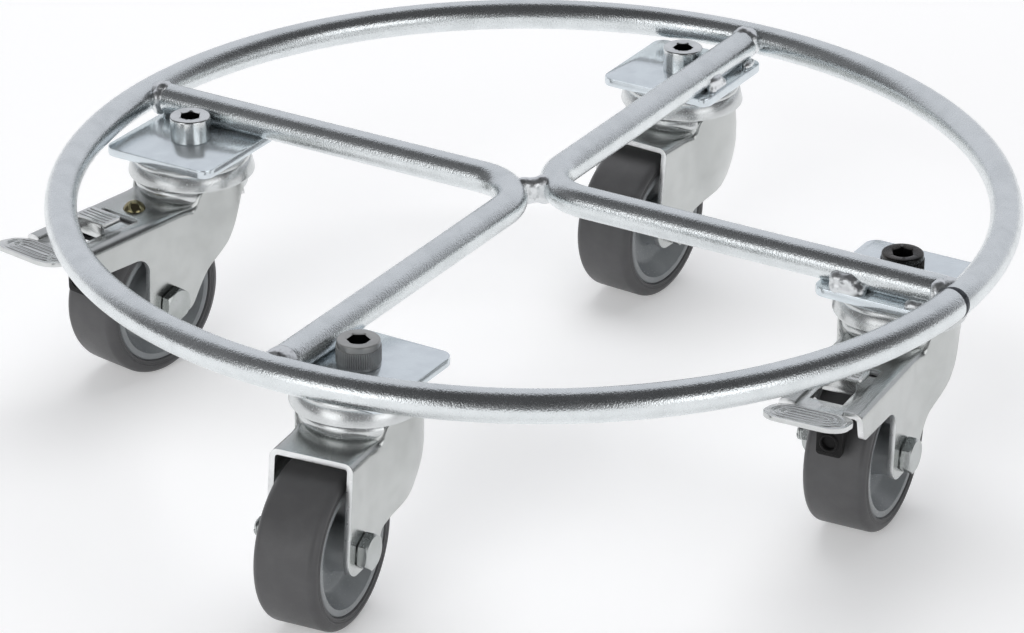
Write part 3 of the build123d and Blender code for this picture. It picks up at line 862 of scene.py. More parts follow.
@dataclass
class Welds:
    """All beads of the frame."""

    growths: Growths
    rods: RodFrame
    plate_reach: float = 119.6
    plate_size: float = 40.0
    centre_bead: Bead = Bead(2.4, 0.7, 0.09, 0.22, 11)
    centre_runs: tuple[Pair, ...] = ((-2.5, 0.0), (0.0, -1.3), (0.0, 0.0), (2.3, 0.0))
    centre_step: float = 0.6
    centre_waist: float = 0.66
    end_beads: tuple[EndBead, ...] = (
        EndBead(0, (115, 215), 4.8, Bead(2.1, 0.8, 0.20, 0.4, 5)),
        EndBead(90, (50, 215), 4.7, Bead(2.1, 1.0, 0.20, 0.4, 8)),
        EndBead(180, (-35, 100), 4.6, Bead(2.1, 0.9, 0.22, 0.4, 3)),
        EndBead(270, (-35, 215), 5.2, Bead(1.5, 0.4, 0.03, 0.05, 4)),
    )
    end_setback: float = 0.9
    end_sink: float = 0.86
    seam_angle: float = -2.2
    seam_run: Pair = (-35.0, 140.0)
    seam_width: float = 2.6
    seam_relief: float = 0.14
    seam_sink: float = 0.03
    seam_tip: float = 0.25
    seam_fullness: float = 0.7
    seam_rows: int = 24
    seam_columns: int = 6
    plate_drops: tuple[Pair, ...] = ((2.6, 2.0), (1.8, 1.4), (2.3, 1.7), (2.4, 1.9))
    plate_inset: float = 3.2
    plate_rise: float = 0.7
    outer_setback: float = 8.6
    drop_step: float = 0.5
    grain: float = 0.25
    calm: int = 14
    crisp: float = 80.0

    def build(self) -> None:
        """Place the beads of the frame and of the plates."""
        place("frame_beads", "frame", self.frame_beads(), Finishes.WELD, ["frame_welds"], sharp=self.crisp)
        # The seam's dark band is partly weld scar, partly painted shadow of the seam's gap.
        place("ring_seam", "frame", self.seam(), Finishes.SEAM_SCAR_AND_SHADE, ["frame_welds"])
        place("plate_beads", "frame", self.plate_beads(), Finishes.WELD, ["plate_welds"], sharp=self.crisp)

    def grown(self, runs: Iterable[Sequence[Vector]], bead: Bead) -> BMesh:
        """Grow one bead along its runs.

        Args:
            runs: Points along each run.
            bead: How its drops turned out.

        Returns:
            The bead.
        """
        numbers = {"Drop": bead.drop, "Pitch": bead.pitch, "Spread": bead.spread, "Stray": bead.stray}
        numbers |= {"Seed": bead.seed, "Grain": self.grain, "Calm": self.calm}
        return self.growths.weld.grow([(run, False) for run in runs], Finishes.WELD, **numbers)

    def frame_beads(self) -> BMesh:
        """The bead at the bends and one round each bar end.

        Returns:
            These beads and the filler at the bar ends, as one mesh.
        """
        beads = [(self.grown(self.centre_lines(), self.centre_bead), Matrix())]
        for end in self.end_beads:
            beads.append((self.grown([self.round_bar(end)], end.bead), spun(end.angle)))
            beads.append((self.collar(end.collar), spun(end.angle)))
        return gather(beads)

    def centre_lines(self) -> list[list[Vector]]:
        """Runs from bend to bend, drawn in at the middle.

        Returns:
            Points along each run.
        """
        level, waist = self.rods.level, self.centre_waist
        shares = [(self.centre_step * k, waist + (1 - waist) * (k / 4) ** 2) for k in range(-4, 5)]
        return [
            [Vector((reach + side, reach - side, level + rise * share)) for reach, share in shares]
            for rise, side in self.centre_runs
        ]

    def round_bar(self, end: EndBead) -> list[Vector]:
        """A run part of the way round the bar on X, just short of its end.

        Args:
            end: The weld it belongs to.

        Returns:
            Points along the run.
        """
        reach = self.rods.bar_reach - self.end_setback
        radius = self.rods.rod_radius - end.bead.drop * (self.end_sink - end.bead.spread)
        run = arc((0, self.rods.level), radius, *end.run, 24)
        return [Vector((reach, y, z)) for y, z in run]

    def collar(self, radius: float) -> BMesh:
        """Filler between a bar's square end and the ring, flared a little.

        Args:
            radius: Radius of the filler where the bar ends.

        Returns:
            The filler, in place on X.
        """
        profile = [
            (0, -2.4), (radius - 0.5, -2.4), (radius - 0.1, -2.0), (radius, -1.0), (radius + 0.1, 0.5),
            (radius + 0.1, 2.0), (radius - 0.3, 3.4), (0, 3.4),
        ]
        bm = lathe(profile, 64, closed=False)
        bm.transform(Matrix.Translation((self.rods.bar_reach, 0, self.rods.level)) @ spun(90, "Y"))
        return bm

    def seam(self) -> BMesh:
        """The scar of the ring's own seam: a low band over its top and outer side, narrow at both ends. Its
        dark finish is partly the weld's scar and partly a painted shadow of the seam's gap.

        Returns:
            The scar as an open sheet.
        """
        bm = bmesh.new()
        rows = []
        for i in range(self.seam_rows + 1):
            share = i / self.seam_rows
            around = math.radians(self.seam_run[0] + (self.seam_run[1] - self.seam_run[0]) * share)
            swell = math.sin(math.pi * share) ** self.seam_fullness
            width = self.seam_width * (self.seam_tip + (1 - self.seam_tip) * swell)
            row = []
            for j in range(self.seam_columns + 1):
                offset = 2 * j / self.seam_columns - 1
                turn = math.radians(self.seam_angle) + offset * width / 2 / self.rods.ring_radius
                radius = self.rods.rod_radius - self.seam_sink + self.seam_relief * (1 - offset**2)
                reach = self.rods.ring_radius + radius * math.sin(around)
                level = self.rods.level + radius * math.cos(around)
                row.append(bm.verts.new((reach * math.cos(turn), reach * math.sin(turn), level)))
            rows.append(row)
        for low, high in zip(rows, rows[1:]):
            for j in range(self.seam_columns):
                bm.faces.new((low[j], low[j + 1], high[j + 1], high[j]))
        middle = min(bm.faces, key=lambda f: abs(f.calc_center_median().z - self.rods.level))
        return faced(bm, middle, (1, 0, 0))

    def plate_beads(self) -> BMesh:
        """Two short beads in the corner between each bar and its plate.

        Returns:
            The beads of all four plates, as one mesh.
        """
        low = self.rods.level - self.rods.rod_radius + self.plate_rise
        start = self.plate_reach - self.plate_size / 2 + self.plate_inset
        outer = self.rods.bar_reach - self.outer_setback
        beads = []
        for number, (large, little) in enumerate(self.plate_drops):
            runs = [
                [Vector((x + k * self.drop_step, y, z)) for k in range(count)]
                for x, y, z, count in (
                    (start + 4.2, -4.6, low + 0.4, 15), (start + 4.4, -4.5, low + 2.6, 10),
                    (outer, -4.8, low, 9),
                )
            ]
            turn = spun(90 * number)
            beads.append((self.grown(runs[:2], Bead(large, 0.5, 0.06, 0.18, 21 + number)), turn))
            beads.append((self.grown(runs[2:], Bead(little, 0.6, 0.12, 0.2, 31 + number)), turn))
        return gather(beads)


class ScrewLook(Enum):
    """How a cap screw is finished and whether its head is knurled."""

    BRIGHT = (Finishes.SCREW, False)
    KNURLED = (Finishes.DARK_SCREW, True)
    BLACK = (Finishes.BLACK_SCREW, True)

    def __init__(self, finish: Finish, knurled: bool) -> None:
        """Keep the finish and the knurling by name."""
        self.finish = finish
        self.knurled = knurled


@dataclass
class CapScrew:
    """A socket head cap screw on a caster plate."""

    growths: Growths
    look: ScrewLook
    head_radius: float = 6.5
    head_height: float = 8.0
    chamfer: float = 0.6
    foot_edge: float = 0.25
    socket_flats: float = 6.0
    socket_lead: float = 0.35
    socket_depth: float = 4.0
    socket_point: float = 1.2
    mouth_radius: float = 3.72
    shank_radius: float = 4.0
    shank_bottom: float = -24.9
    shank_chamfer: float = 0.6
    plain_ring: float = 1.1
    plain_belt: float = 2.0
    rib_count: int = 60
    rib_radius: float = 0.3
    rib_sink: float = 0.18
    steps: int = 96

    def shape(self) -> BMesh:
        """Make the screw with its head standing on zero.

        Returns:
            The screw.
        """
        radius = self.head_radius - (self.rib_sink if self.look.knurled else 0.0)
        bm = lathe(self.profile(radius), self.steps, closed=False)
        self.sink_socket(bm)
        bmesh.ops.recalc_face_normals(bm, faces=bm.faces)
        return gather([(bm, Matrix()), (self.ribs(radius), Matrix())]) if self.look.knurled else bm

    def profile(self, radius: float) -> list[Pair]:
        """From the shank's end over the head's foot and side to the socket's mouth.

        Args:
            radius: Radius of the head's side.

        Returns:
            Points (radius, height).
        """
        top, foot, shank, bottom = self.head_height, self.head_radius, self.shank_radius, self.shank_bottom
        edge = arc((radius - self.chamfer, top - self.chamfer), self.chamfer, 0, 90, 4)
        return [
            (0, bottom), (shank - self.shank_chamfer, bottom), (shank, bottom + self.shank_chamfer),
            (shank, 0), (foot - self.foot_edge, 0), (foot, self.foot_edge), (foot, self.plain_ring),
            (radius, self.plain_ring + 0.15), (radius, top - self.chamfer), *edge, (self.mouth_radius, top),
        ]

    def sink_socket(self, bm: BMesh) -> None:
        """Sink the hexagon socket into the open top, its walls in the second finish, a near-black painted
        shade.

        Args:
            bm: The turned screw.
        """
        top, limit = self.head_height, self.mouth_radius + 0.05
        mouth = [v for v in bm.verts if abs(v.co.z - top) < SAME_POINT and v.co.xy.length < limit]
        mouth.sort(key=lambda v: math.atan2(v.co.y, v.co.x) % (2 * math.pi))
        loops = [mouth]
        for level in (top - self.socket_lead, top - self.socket_depth):
            loop = []
            for v in mouth:
                a = math.atan2(v.co.y, v.co.x)
                reach = self.socket_flats / 2 / math.cos(a % (math.pi / 3) - math.pi / 6)
                loop.append(bm.verts.new((reach * math.cos(a), reach * math.sin(a), level)))
            loops.append(loop)
        loops.append([bm.verts.new((0, 0, top - self.socket_depth - self.socket_point))] * self.steps)
        bridge(bm, *loops[:2])
        for outer, inner in zip(loops[1:], loops[2:]):
            for face in bridge(bm, outer, inner):
                face.material_index = 1

    def ribs(self, radius: float) -> BMesh:
        """The knurling between the plain ring and the plain belt.

        Args:
            radius: Radius of the head's side.

        Returns:
            The ribs.
        """
        low, high = self.plain_ring + 0.1, self.head_height - self.plain_belt
        belt = circle(radius, 120, (low + high) / 2)
        numbers = {"Count": self.rib_count, "Radius": self.rib_radius, "Height": high - low}
        return self.growths.rib.grow([(belt, True)], self.look.finish, **numbers)


# Casters


@dataclass(frozen=True)
class Place:
    """Where one caster stands at rest, read from its joints."""

    name: str
    swivel: Vector
    heading: float
    braked: bool
    trail: float = 24.0
    axle_height: float = 25.0

    @classmethod
    def read(cls, name: str) -> "Place":
        """Read a caster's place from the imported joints.

        Args:
            name: Name of the caster.

        Returns:
            Its place.
        """
        joints = {joint["name"]: joint for joint in frame["joints"]}
        swivel = Vector(joints[f"{name}_swivel_turn"]["pos_m"])
        run = Vector(joints[f"{name}_wheel_roll"]["pos_m"]) - swivel
        return cls(name, swivel, math.atan2(run.y, run.x), f"{name}_pedal_press" in joints)

    def upright(self) -> Matrix:
        """From millimetres on the swivel axis, unturned, to the row frame."""
        return Matrix.Translation((self.swivel.x, self.swivel.y, 0)) @ TO_METRES

    def matrix(self) -> Matrix:
        """From the caster's own frame in millimetres to the row frame."""
        return self.upright() @ Matrix.Rotation(self.heading, 4, "Z")

    def axle(self) -> Matrix:
        """From millimetres along the axle, its axis on Z, to the row frame."""
        return self.matrix() @ Matrix.Translation((self.trail, 0, self.axle_height)) @ spun(-90, "X")

    def put(
        self, label: str, group: str, shape: BMesh, finish: Finish, node: str = "",
        matrix: Matrix | None = None, sharp: float = CRISP_ANGLE, edge: Finish | None = None,
    ) -> None:
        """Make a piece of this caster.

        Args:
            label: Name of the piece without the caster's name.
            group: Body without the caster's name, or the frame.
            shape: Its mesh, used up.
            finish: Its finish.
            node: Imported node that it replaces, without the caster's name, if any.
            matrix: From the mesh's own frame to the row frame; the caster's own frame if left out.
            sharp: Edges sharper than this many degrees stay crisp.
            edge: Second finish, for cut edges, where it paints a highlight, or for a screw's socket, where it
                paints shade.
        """
        body = group if group == "frame" else f"{self.name}_{group}"
        stands_for = [f"{self.name}_{node}"] if node else []
        matrix = self.matrix() if matrix is None else matrix
        place(f"{self.name}_{label}", body, shape, finish, stands_for, matrix, sharp, edge)


@dataclass
class Seat:
    """A caster's plate, its screw and the upper race under it, all fixed to the frame."""

    growths: Growths
    place: Place
    look: ScrewLook
    size: float = 40.0
    corner_radius: float = 4.0
    edge_rounding: float = 0.5
    outline_step: float = 0.8
    race_radius: float = 20.3
    race_bottom: float = 59.7
    race_bore: float = 5.6
    race_crisp: float = 50.0

    def __post_init__(self) -> None:
        """Read the plate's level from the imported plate."""
        low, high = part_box(f"{self.place.name}_plate")
        self.bottom, self.top = low.z / MM, high.z / MM

    def build(self) -> None:
        """Place the plate, the race and the screw."""
        upright = self.place.upright()
        self.place.put("seat_plate", "frame", self.plate(), Finishes.PLATE, "plate", upright)
        bowl = self.race()
        self.place.put("race_bowl", "frame", bowl, Finishes.RACE, "upper_race", upright, self.race_crisp)
        quarters = round(math.degrees(math.atan2(self.place.swivel.y, self.place.swivel.x)) / 90)
        stand = upright @ Matrix.Translation((0, 0, self.top)) @ spun(90 * quarters)
        screw = CapScrew(self.growths, self.look).shape()
        name = f"{self.place.name}_cap_screw"
        # The socket's walls take a near-black finish: painted shade in the recess.
        place(name, "frame", screw, self.look.finish, ["cap_screws"], stand, edge=Finishes.SOCKET)

    def plate(self) -> BMesh:
        """A square of sheet with rounded corners and edges.

        Returns:
            The plate, on the swivel axis.
        """
        outline = rectangle(self.size / 2, self.size / 2, self.corner_radius, self.outline_step)
        bm = bmesh.new()
        base = bm.faces.new([bm.verts.new((p.x, p.y, self.bottom)) for p in outline])
        raised = bmesh.ops.extrude_face_region(bm, geom=[base])["geom"]
        verts = [v for v in raised if isinstance(v, bmesh.types.BMVert)]
        bmesh.ops.translate(bm, verts=verts, vec=(0, 0, self.top - self.bottom))
        bmesh.ops.recalc_face_normals(bm, faces=bm.faces)
        return rounded(bm, self.edge_rounding, CUT_ANGLE)

    def race(self) -> BMesh:
        """A pressed bowl that widens down to a rolled lip, with a fine crease round its shoulder.

        Returns:
            The bowl, on the swivel axis.
        """
        radius, low, high, bore = self.race_radius, self.race_bottom, self.bottom, self.race_bore
        profile = [
            (bore, high), (radius - 3.6, high), *arc((radius - 3.6, high - 2.4), 2.4, 88, 12, 8),
            (radius - 1.28, high - 2.45), (radius - 1.0, high - 2.7), (radius - 0.35, low + 2.2),
            (radius - 0.06, low + 1.0), *arc((radius - 0.5, low + 0.5), 0.5, 10, -90, 5),
            (radius - 1.7, low), (radius - 1.8, low + 1.4), (bore, low + 1.4),
        ]
        return lathe(profile, FINE_STEPS)


@dataclass
class Wheel:
    """A soft tyre on a moulded rim."""

    place: Place
    radius: float = 25.0
    half_width: float = 10.0
    bore: float = 20.4
    shoulder: float = 2.6
    hub_half: float = 10.9
    ridge_rise: float = 0.14
    ridge_reaches: Pair = (1.1, 1.75)

    def build(self) -> None:
        """Place the tyre and the rim."""
        axle = self.place.axle()
        tyre, rim = lathe(self.tyre_profile(), 160), lathe(self.rim_profile(), FINE_STEPS)
        self.place.put("tread", "wheel", tyre, Finishes.TYRE, "tyre", axle)
        self.place.put("wheel_disc", "wheel", rim, Finishes.RIM, "rim", axle)

    def tyre_profile(self) -> list[Pair]:
        """Half of the section from bore to tread, with two fine ridges on the shoulder, then its mirror.

        Returns:
            Points (radius, distance from the wheel's middle).
        """
        edge, crest = self.half_width, self.half_width + self.ridge_rise
        turn = (self.radius - self.shoulder, edge - self.shoulder)
        half = [(self.bore, edge - 0.5), (self.bore + 0.35, edge - 0.05)]
        for reach in self.ridge_reaches:
            ridge = self.bore + reach
            half += [(ridge - 0.22, edge), (ridge - 0.12, crest), (ridge + 0.12, crest), (ridge + 0.22, edge)]
        half += arc(turn, self.shoulder, 90, 0, 10)
        return half + [(r, -w) for r, w in reversed(half)]

    def rim_profile(self) -> list[Pair]:
        """Half of the section from the hub's bore over the bowl to the lip, then its mirror.

        Returns:
            Points (radius, distance from the wheel's middle).
        """
        face, hub = self.half_width - 0.4, self.hub_half
        half = [
            (4.1, hub - 0.3), (4.4, hub), (6.7, hub), (7.0, hub - 0.3),
            (7.9, 4.8), (8.4, 3.9), (9.2, 3.45), (13.6, 3.4), (14.5, 3.7), (15.1, 4.4), (18.1, face - 0.6),
            (18.25, face - 0.15), (18.6, face), (20.0, face), (20.35, face - 0.3),
        ]
        return half + [(r, -w) for r, w in reversed(half)]


@dataclass
class Axle:
    """The hexagon bolt through a wheel, its nut and the thread end."""

    growths: Growths
    place: Place
    cheek: float = 13.2
    flats: float = 10.0
    chamfer_lead: float = 0.15
    head: float = 3.3
    head_turn: float = 22.0
    collar: float = 4.3
    collar_rise: float = 0.4
    nut: float = 5.0
    radius: float = 3.0
    overrun: float = 2.8
    end_chamfer: float = 0.6
    thread_depth: float = 0.35
    thread_radius: float = 0.33
    thread_start: float = 0.5
    thread_turns: int = 4
    crisp: float = 25.0

    def build(self) -> None:
        """Place the bolt and the nut."""
        axle = self.place.axle()
        self.place.put("hex_bolt", "swivel", self.bolt(), Finishes.BOLT, "axle_bolt", axle, self.crisp)
        nut = hex_body(self.flats, self.nut, self.chamfer_lead, True, self.radius)
        nut.transform(Matrix.Translation((0, 0, -self.cheek - self.nut)))
        self.place.put("hex_nut", "swivel", nut, Finishes.BOLT, "axle_nut", axle, self.crisp)

    def bolt(self) -> BMesh:
        """Head on a thin collar, shank and a few turns of thread at the far end.

        Returns:
            The bolt, along the axle.
        """
        head = hex_body(self.flats, self.head - self.collar_rise, self.chamfer_lead, False)
        end = -self.cheek - self.nut - self.overrun
        core = self.radius - self.thread_depth
        seat = self.cheek + self.collar_rise
        lap = seat + 0.05
        profile = [
            (0, end), (core - self.end_chamfer, end), (core, end + self.end_chamfer), (core, self.cheek),
            (self.collar, self.cheek), (self.collar, lap), (0, lap),
        ]
        turned = Matrix.Translation((0, 0, seat)) @ spun(self.head_turn)
        shank = lathe(profile, COARSE_STEPS, closed=False)
        thread = self.growths.rod.grow(
            [(self.helix(core, end), False)], Finishes.BOLT, Radius=self.thread_radius, Sides=6
        )
        return gather([(head, turned), (shank, Matrix()), (thread, Matrix())])

    def helix(self, core: float, end: float) -> list[Vector]:
        """Points along the thread that shows beyond the nut.

        Args:
            core: Radius of the thread's core.
            end: Where the bolt ends.

        Returns:
            The points.
        """
        steps = 24
        rise = (self.overrun - self.thread_start) / (steps * self.thread_turns)
        points = []
        for k in range(steps * self.thread_turns + 1):
            a = 2 * math.pi * k / steps
            level = end + self.thread_start + rise * k
            points.append(Vector((core * math.cos(a), core * math.sin(a), level)))
        return points


@dataclass
class Fork:
    """A fork pressed from one sheet: cheeks belled out round the crown, which stands up as a rim."""

    place: Place
    sheet: float = 1.8
    half: float = 13.2
    top: float = 54.9
    bend: float = 2.6
    edge_rounding: float = 0.3
    crown_radius: float = 18.2
    crown_top: float = 59.2
    crown_bulge: float = 3.0
    crown_edge: float = 0.15
    crown_bore: float = 5.6
    wall_foot: float = 48.0
    bell_foot: float = 26.9
    bell_foot_radius: float = 12.0
    blend: float = 2.4
    blend_trim: float = 0.04
    rise_start: float = 10.8
    rise_end: float = 13.4
    rise_over: float = 0.25
    rise_fade: float = 12.0
    rear_gap: float = 0.5
    rear_fade: float = 3.0
    mesh_step: float = 0.9
    mesh_rear: float = -20.0
    mesh_gap: float = 0.4
    mesh_tolerance: float = 1e-4
    bend_rows: int = 5
    flat_rows: int = 8
    slot_half: float = 7.6
    slot_start: float = 32.4
    crisp: float = 42.0
    plain: tuple[Triple, ...] = (
        (-9, 54.9, 0), (30, 54.9, 0), (34.4, 19.3, 5.4), (15.5, 19.3, 5.4), (13.0, 26.4, 4), (-9, 31.5, 12),
    )
    braked: tuple[Triple, ...] = (
        (-7.5, 54.9, 0), (61, 54.9, 0), (58.6, 45.3, 3), (33.2, 44.5, 6), (34.4, 19.3, 5.4),
        (15.5, 19.3, 5.4),
    )

    def __post_init__(self) -> None:
        """Choose the cheek's outline and find where the sheet's bend starts and ends."""
        self.cheek = self.braked if self.place.braked else self.plain
        self.flat = self.half - self.bend
        self.bend_end = self.flat + self.bend * math.pi / 2

    def build(self) -> None:
        """Place the bent sheet and the crown."""
        # The sheet's cut edges take a lighter finish: a painted edge highlight.
        pressed = rounded(self.cheeks(), self.edge_rounding, CUT_ANGLE, self.sheet, bright=True)
        look = {"sharp": self.crisp, "edge": Finishes.EDGE_HIGHLIGHT}
        self.place.put("pressed_fork", "swivel", pressed, Finishes.PRESSED, "fork", **look)
        crown = lathe(self.crown_profile(), FINE_STEPS)
        self.place.put("fork_crown", "swivel", crown, Finishes.RACE, "fork", sharp=self.crisp)

    def crown_profile(self) -> list[Pair]:
        """The crown: its floor and the bulged rim that stands round the bearing cup.

        Returns:
            Points (radius, height).
        """
        outer, inner = self.crown_radius, self.crown_radius - self.sheet
        top, low = self.crown_top, self.top - self.sheet
        bulge = arc((outer - self.crown_bulge, (top + self.top) / 2), self.crown_bulge, -45, 45, 12)
        return [
            (self.crown_bore, low), (outer - 2.5, low), (outer - 1.2, self.top - 0.4), *bulge,
            (inner + 0.3, top), (inner, top - 0.3), (inner, self.top), (self.crown_bore, self.top),
        ]

    def spread(self, s: float, z: float) -> float:
        """Half width of the outside at a reach and a height, with the bell melted into the flat cheek.

        Args:
            s: Reach along the trail.
            z: Height.

        Returns:
            The half width.
        """
        run = min(max((self.wall_foot - z) / (self.wall_foot - self.bell_foot), 0.0), 1.0)
        radius = self.crown_radius - (self.crown_radius - self.bell_foot_radius) * run**2
        bell = math.sqrt(max(radius**2 - s**2, 0.0))
        melted = 0.5 * (self.half + bell + math.hypot(self.half - bell, self.blend))
        return melted - self.blend_trim * self.blend

    def unrolled(self, z: float) -> float:
        """Distance over the sheet from the middle of the top to a height on the outline.

        Args:
            z: Height on the outline.

        Returns:
            The distance.
        """
        if z >= self.top - self.bend:
            return self.flat + self.bend * math.acos(min(max(1 - (self.top - z) / self.bend, -1.0), 1.0))
        return self.bend_end + self.top - self.bend - z

    def rise(self, s: float) -> float:
        """How far the sheet has risen under the crown at a reach, from 0 to 1.

        Args:
            s: Reach along the trail.

        Returns:
            The share.
        """
        share = min(max((self.rise_end - s) / (self.rise_end - self.rise_start), 0.0), 1.0)
        share = min(share, max((s - self.cheek[0][0] - self.rear_gap) / self.rear_fade, 0.0))
        return share**2 * (3 - 2 * share)

    def on_sheet(self, s: float, w: float) -> Vector:
        """Point of the bent sheet at a reach and a distance from the middle of its top.

        Args:
            s: Reach along the trail.
            w: Distance over the sheet, with the sign of the side.

        Returns:
            The point in the caster's own frame.
        """
        side = math.copysign(1.0, w)
        w = abs(w)
        rise = self.rise(s)
        lift = (self.crown_top + self.rise_over - self.top) * rise
        bend = self.bend - (self.bend - self.crown_edge) * rise
        wide = self.spread(s, self.top - bend) - bend
        if w <= self.flat:
            return Vector((s, side * w * wide / self.flat, self.top + lift))
        if w <= self.bend_end:
            a = (w - self.flat) / self.bend
            return Vector((s, side * (wide + bend * math.sin(a)), self.top + lift - bend * (1 - math.cos(a))))
        down = w - self.bend_end
        lift = (self.bend - bend + lift) * max(0.0, 1 - down / self.rise_fade)
        z = self.top - self.bend - down + lift
        return Vector((s, side * self.spread(s, z), z))

    def border(self) -> list[Vector]:
        """Outline of the sheet laid flat, with the pedal's slot where it is braked.

        Returns:
            Points round the outline.
        """
        outline = rounded_outline(self.cheek, self.mesh_step)
        crest = [p for p in outline if p.y > self.top - self.mesh_tolerance]
        front = max(p.x for p in crest)
        chain = [Vector((p.x, self.unrolled(p.y))) for p in outline[len(crest):]]
        chain = [Vector((front, self.flat)), *chain, Vector((crest[0].x, self.flat))]
        edge = chain + [Vector((p.x, -p.y)) for p in reversed(chain)]
        if self.place.braked:
            slot = [(front, -1), (self.slot_start, -1), (self.slot_start, 1), (front, 1)]
            edge += [Vector((x, side * self.slot_half)) for x, side in slot]
        return rounded_outline([(p.x, p.y, 0) for p in edge], self.mesh_step)

    def filling(self, border: Sequence[Vector]) -> list[Vector]:
        """Rows of points that fill the flat sheet, closer together over the bend.

        Args:
            border: Points round the flat sheet.

        Returns:
            The points.
        """
        deepest = max(p.y for p in border)
        columns = math.ceil((max(p.x for p in border) - self.mesh_rear) / self.mesh_step)
        turn = self.bend * math.pi / 2
        rows = [turn * k / self.bend_rows + self.half - self.bend for k in range(self.bend_rows + 1)]
        foot = rows[-1]
        rows += [self.flat * k / self.flat_rows for k in range(self.flat_rows)]
        rows += [foot + self.mesh_step * k for k in range(1, math.ceil(deepest / self.mesh_step))]
        fill = []
        for w in sorted({side * row for row in rows for side in (-1, 1)}):
            for k in range(columns):
                p = Vector((self.mesh_rear + self.mesh_step * k, w))
                if inside(p, border) and min((p - q).length_squared for q in border) > self.mesh_gap:
                    fill.append(p)
        return fill

    def cheeks(self) -> BMesh:
        """The open sheet: cut flat, filled with even triangles and bent into shape.

        Returns:
            The outside of the sheet.
        """
        border = self.border()
        seams = [(k, (k + 1) % len(border)) for k in range(len(border))]
        points = border + self.filling(border)
        verts, _, faces, *_ = delaunay_2d_cdt(points, seams, [], ONLY_INSIDE, self.mesh_tolerance)
        bm = bmesh.new()
        made = [bm.verts.new(self.on_sheet(p.x, p.y)) for p in verts]
        for face in faces:
            bm.faces.new([made[k] for k in face])
        highest = max(bm.faces, key=lambda f: f.calc_center_median().z)
        return faced(bm, highest, (0, 0, 1))


@dataclass
class Brake:
    """The foot pedal with its shoe, and the rivet of its detent spring."""

    growths: Growths
    place: Place
    fork_top: float = 54.9
    rivet_reach: float = 26.4
    rivet_radius: float = 3.6
    rivet_height: float = 2.6
    tread_rear: float = 62.0
    tread_depth: float = 15.0
    tread_width: float = 25.6
    tread_rise: float = 3.0
    neck_top: float = 54.1
    tab_rear: float = 38.5
    tab_half: float = 6.6
    tab_top: float = 58.0
    tab_lines: int = 4
    tab_pitch: float = 1.6
    tab_margin: float = 1.2
    tab_sink: float = 0.12
    ridge_insets: tuple[float, ...] = (1.6, 3.9, 6.2)
    ridge_corners: Pair = (0.3, 6.0)
    ridge_straight: float = 0.05
    ridge_radius: float = 0.42
    ridge_sink: float = 0.08
    ridge_step: float = 0.8
    lever_rounding: float = 0.35
    shoe_rounding: float = 0.5
    shoe_face: float = 52.6
    shoe_eye_height: float = 39.0
    shoe_eye_radius: float = 2.6
    shoe_eye_wire: float = 0.45
    rounded_from: float = 40.0
    crisp: float = 45.0

    def build(self) -> None:
        """Place the pedal, its ridges, the shoe and the rivet."""
        name, put = self.place.name, self.place.put
        as_packed = {"matrix": Matrix(), "sharp": self.crisp}
        lever = cad_copy(f"{name}_brake_pedal")
        # The lever's rounded edges take a lighter finish: a painted edge highlight.
        lever = rounded(lever, self.lever_rounding * MM, self.rounded_from, bright=True)
        put("foot_lever", "pedal", lever, Finishes.LEVER, "brake_pedal", edge=Finishes.EDGE_HIGHLIGHT, **as_packed)
        put("foot_ridges", "pedal", self.ridges(), Finishes.LEVER)
        shoe = rounded(cad_copy(f"{name}_brake_shoe"), self.shoe_rounding * MM, self.rounded_from)
        put("shoe_block", "pedal", shoe, Finishes.SHOE, "brake_shoe", **as_packed)
        put("shoe_eye", "pedal", self.shoe_eye(), Finishes.SHOE)
        seat = self.place.matrix() @ Matrix.Translation((self.rivet_reach, 0, self.fork_top))
        put("dome_rivet", "swivel", self.rivet(), Finishes.RIVET, "spring_rivet", seat)

    def ridges(self) -> BMesh:
        """Rounded ridges: rings on the foot tread and lines across the release tab.

        Returns:
            The ridges.
        """
        slope = math.degrees(math.atan2(self.tread_rise, self.tread_depth))
        middle = Vector((self.tread_rear + self.tread_depth / 2, 0, self.neck_top + self.tread_rise / 2))
        tilt = Matrix.Translation(middle) @ spun(-slope, "Y")
        paths = []
        for inset in self.ridge_insets:
            half_s, half_t = self.tread_depth / 2 - inset, self.tread_width / 2 - inset
            tightest, widest = self.ridge_corners
            corner = min(max(half_s - self.ridge_straight, tightest), widest)
            outline = rectangle(half_s, half_t, corner, self.ridge_step)
            paths.append(([tilt @ Vector((p.x, p.y, -self.ridge_sink)) for p in outline], True))
        reach, level = self.tab_half - self.tab_margin, self.tab_top - self.tab_sink
        for k in range(1, self.tab_lines + 1):
            s = self.tab_rear + self.tab_pitch * k
            paths.append(([Vector((s, reach * n / 4, level)) for n in range(-4, 5)], False))
        return self.growths.rod.grow(paths, Finishes.LEVER, Radius=self.ridge_radius, Sides=10)

    def shoe_eye(self) -> BMesh:
        """A raised ring round the recess in the shoe's face.

        Returns:
            The ring.
        """
        ring = circle(self.shoe_eye_radius, COARSE_STEPS)
        loop = [Vector((self.shoe_face, p.x, self.shoe_eye_height + p.y)) for p in ring]
        return self.growths.rod.grow([(loop, True)], Finishes.SHOE, Radius=self.shoe_eye_wire, Sides=12)

    def rivet(self) -> BMesh:
        """A domed head over a short shank with a spread foot.

        Returns:
            The rivet, its head standing on zero.
        """
        radius, height = self.rivet_radius, self.rivet_height
        sphere = (radius**2 + height**2) / (2 * height)
        reach = math.degrees(math.asin(radius / sphere))
        dome = arc((0, height - sphere), sphere, 90 - reach, 90, 10)
        foot = [(0, -3.2), (2.4, -3.2), (2.4, -2.5), (1.5, -2.5), (1.5, 0), (radius, 0)]
        return lathe([*foot, *dome[:-1], (0, height)], COARSE_STEPS, closed=False)


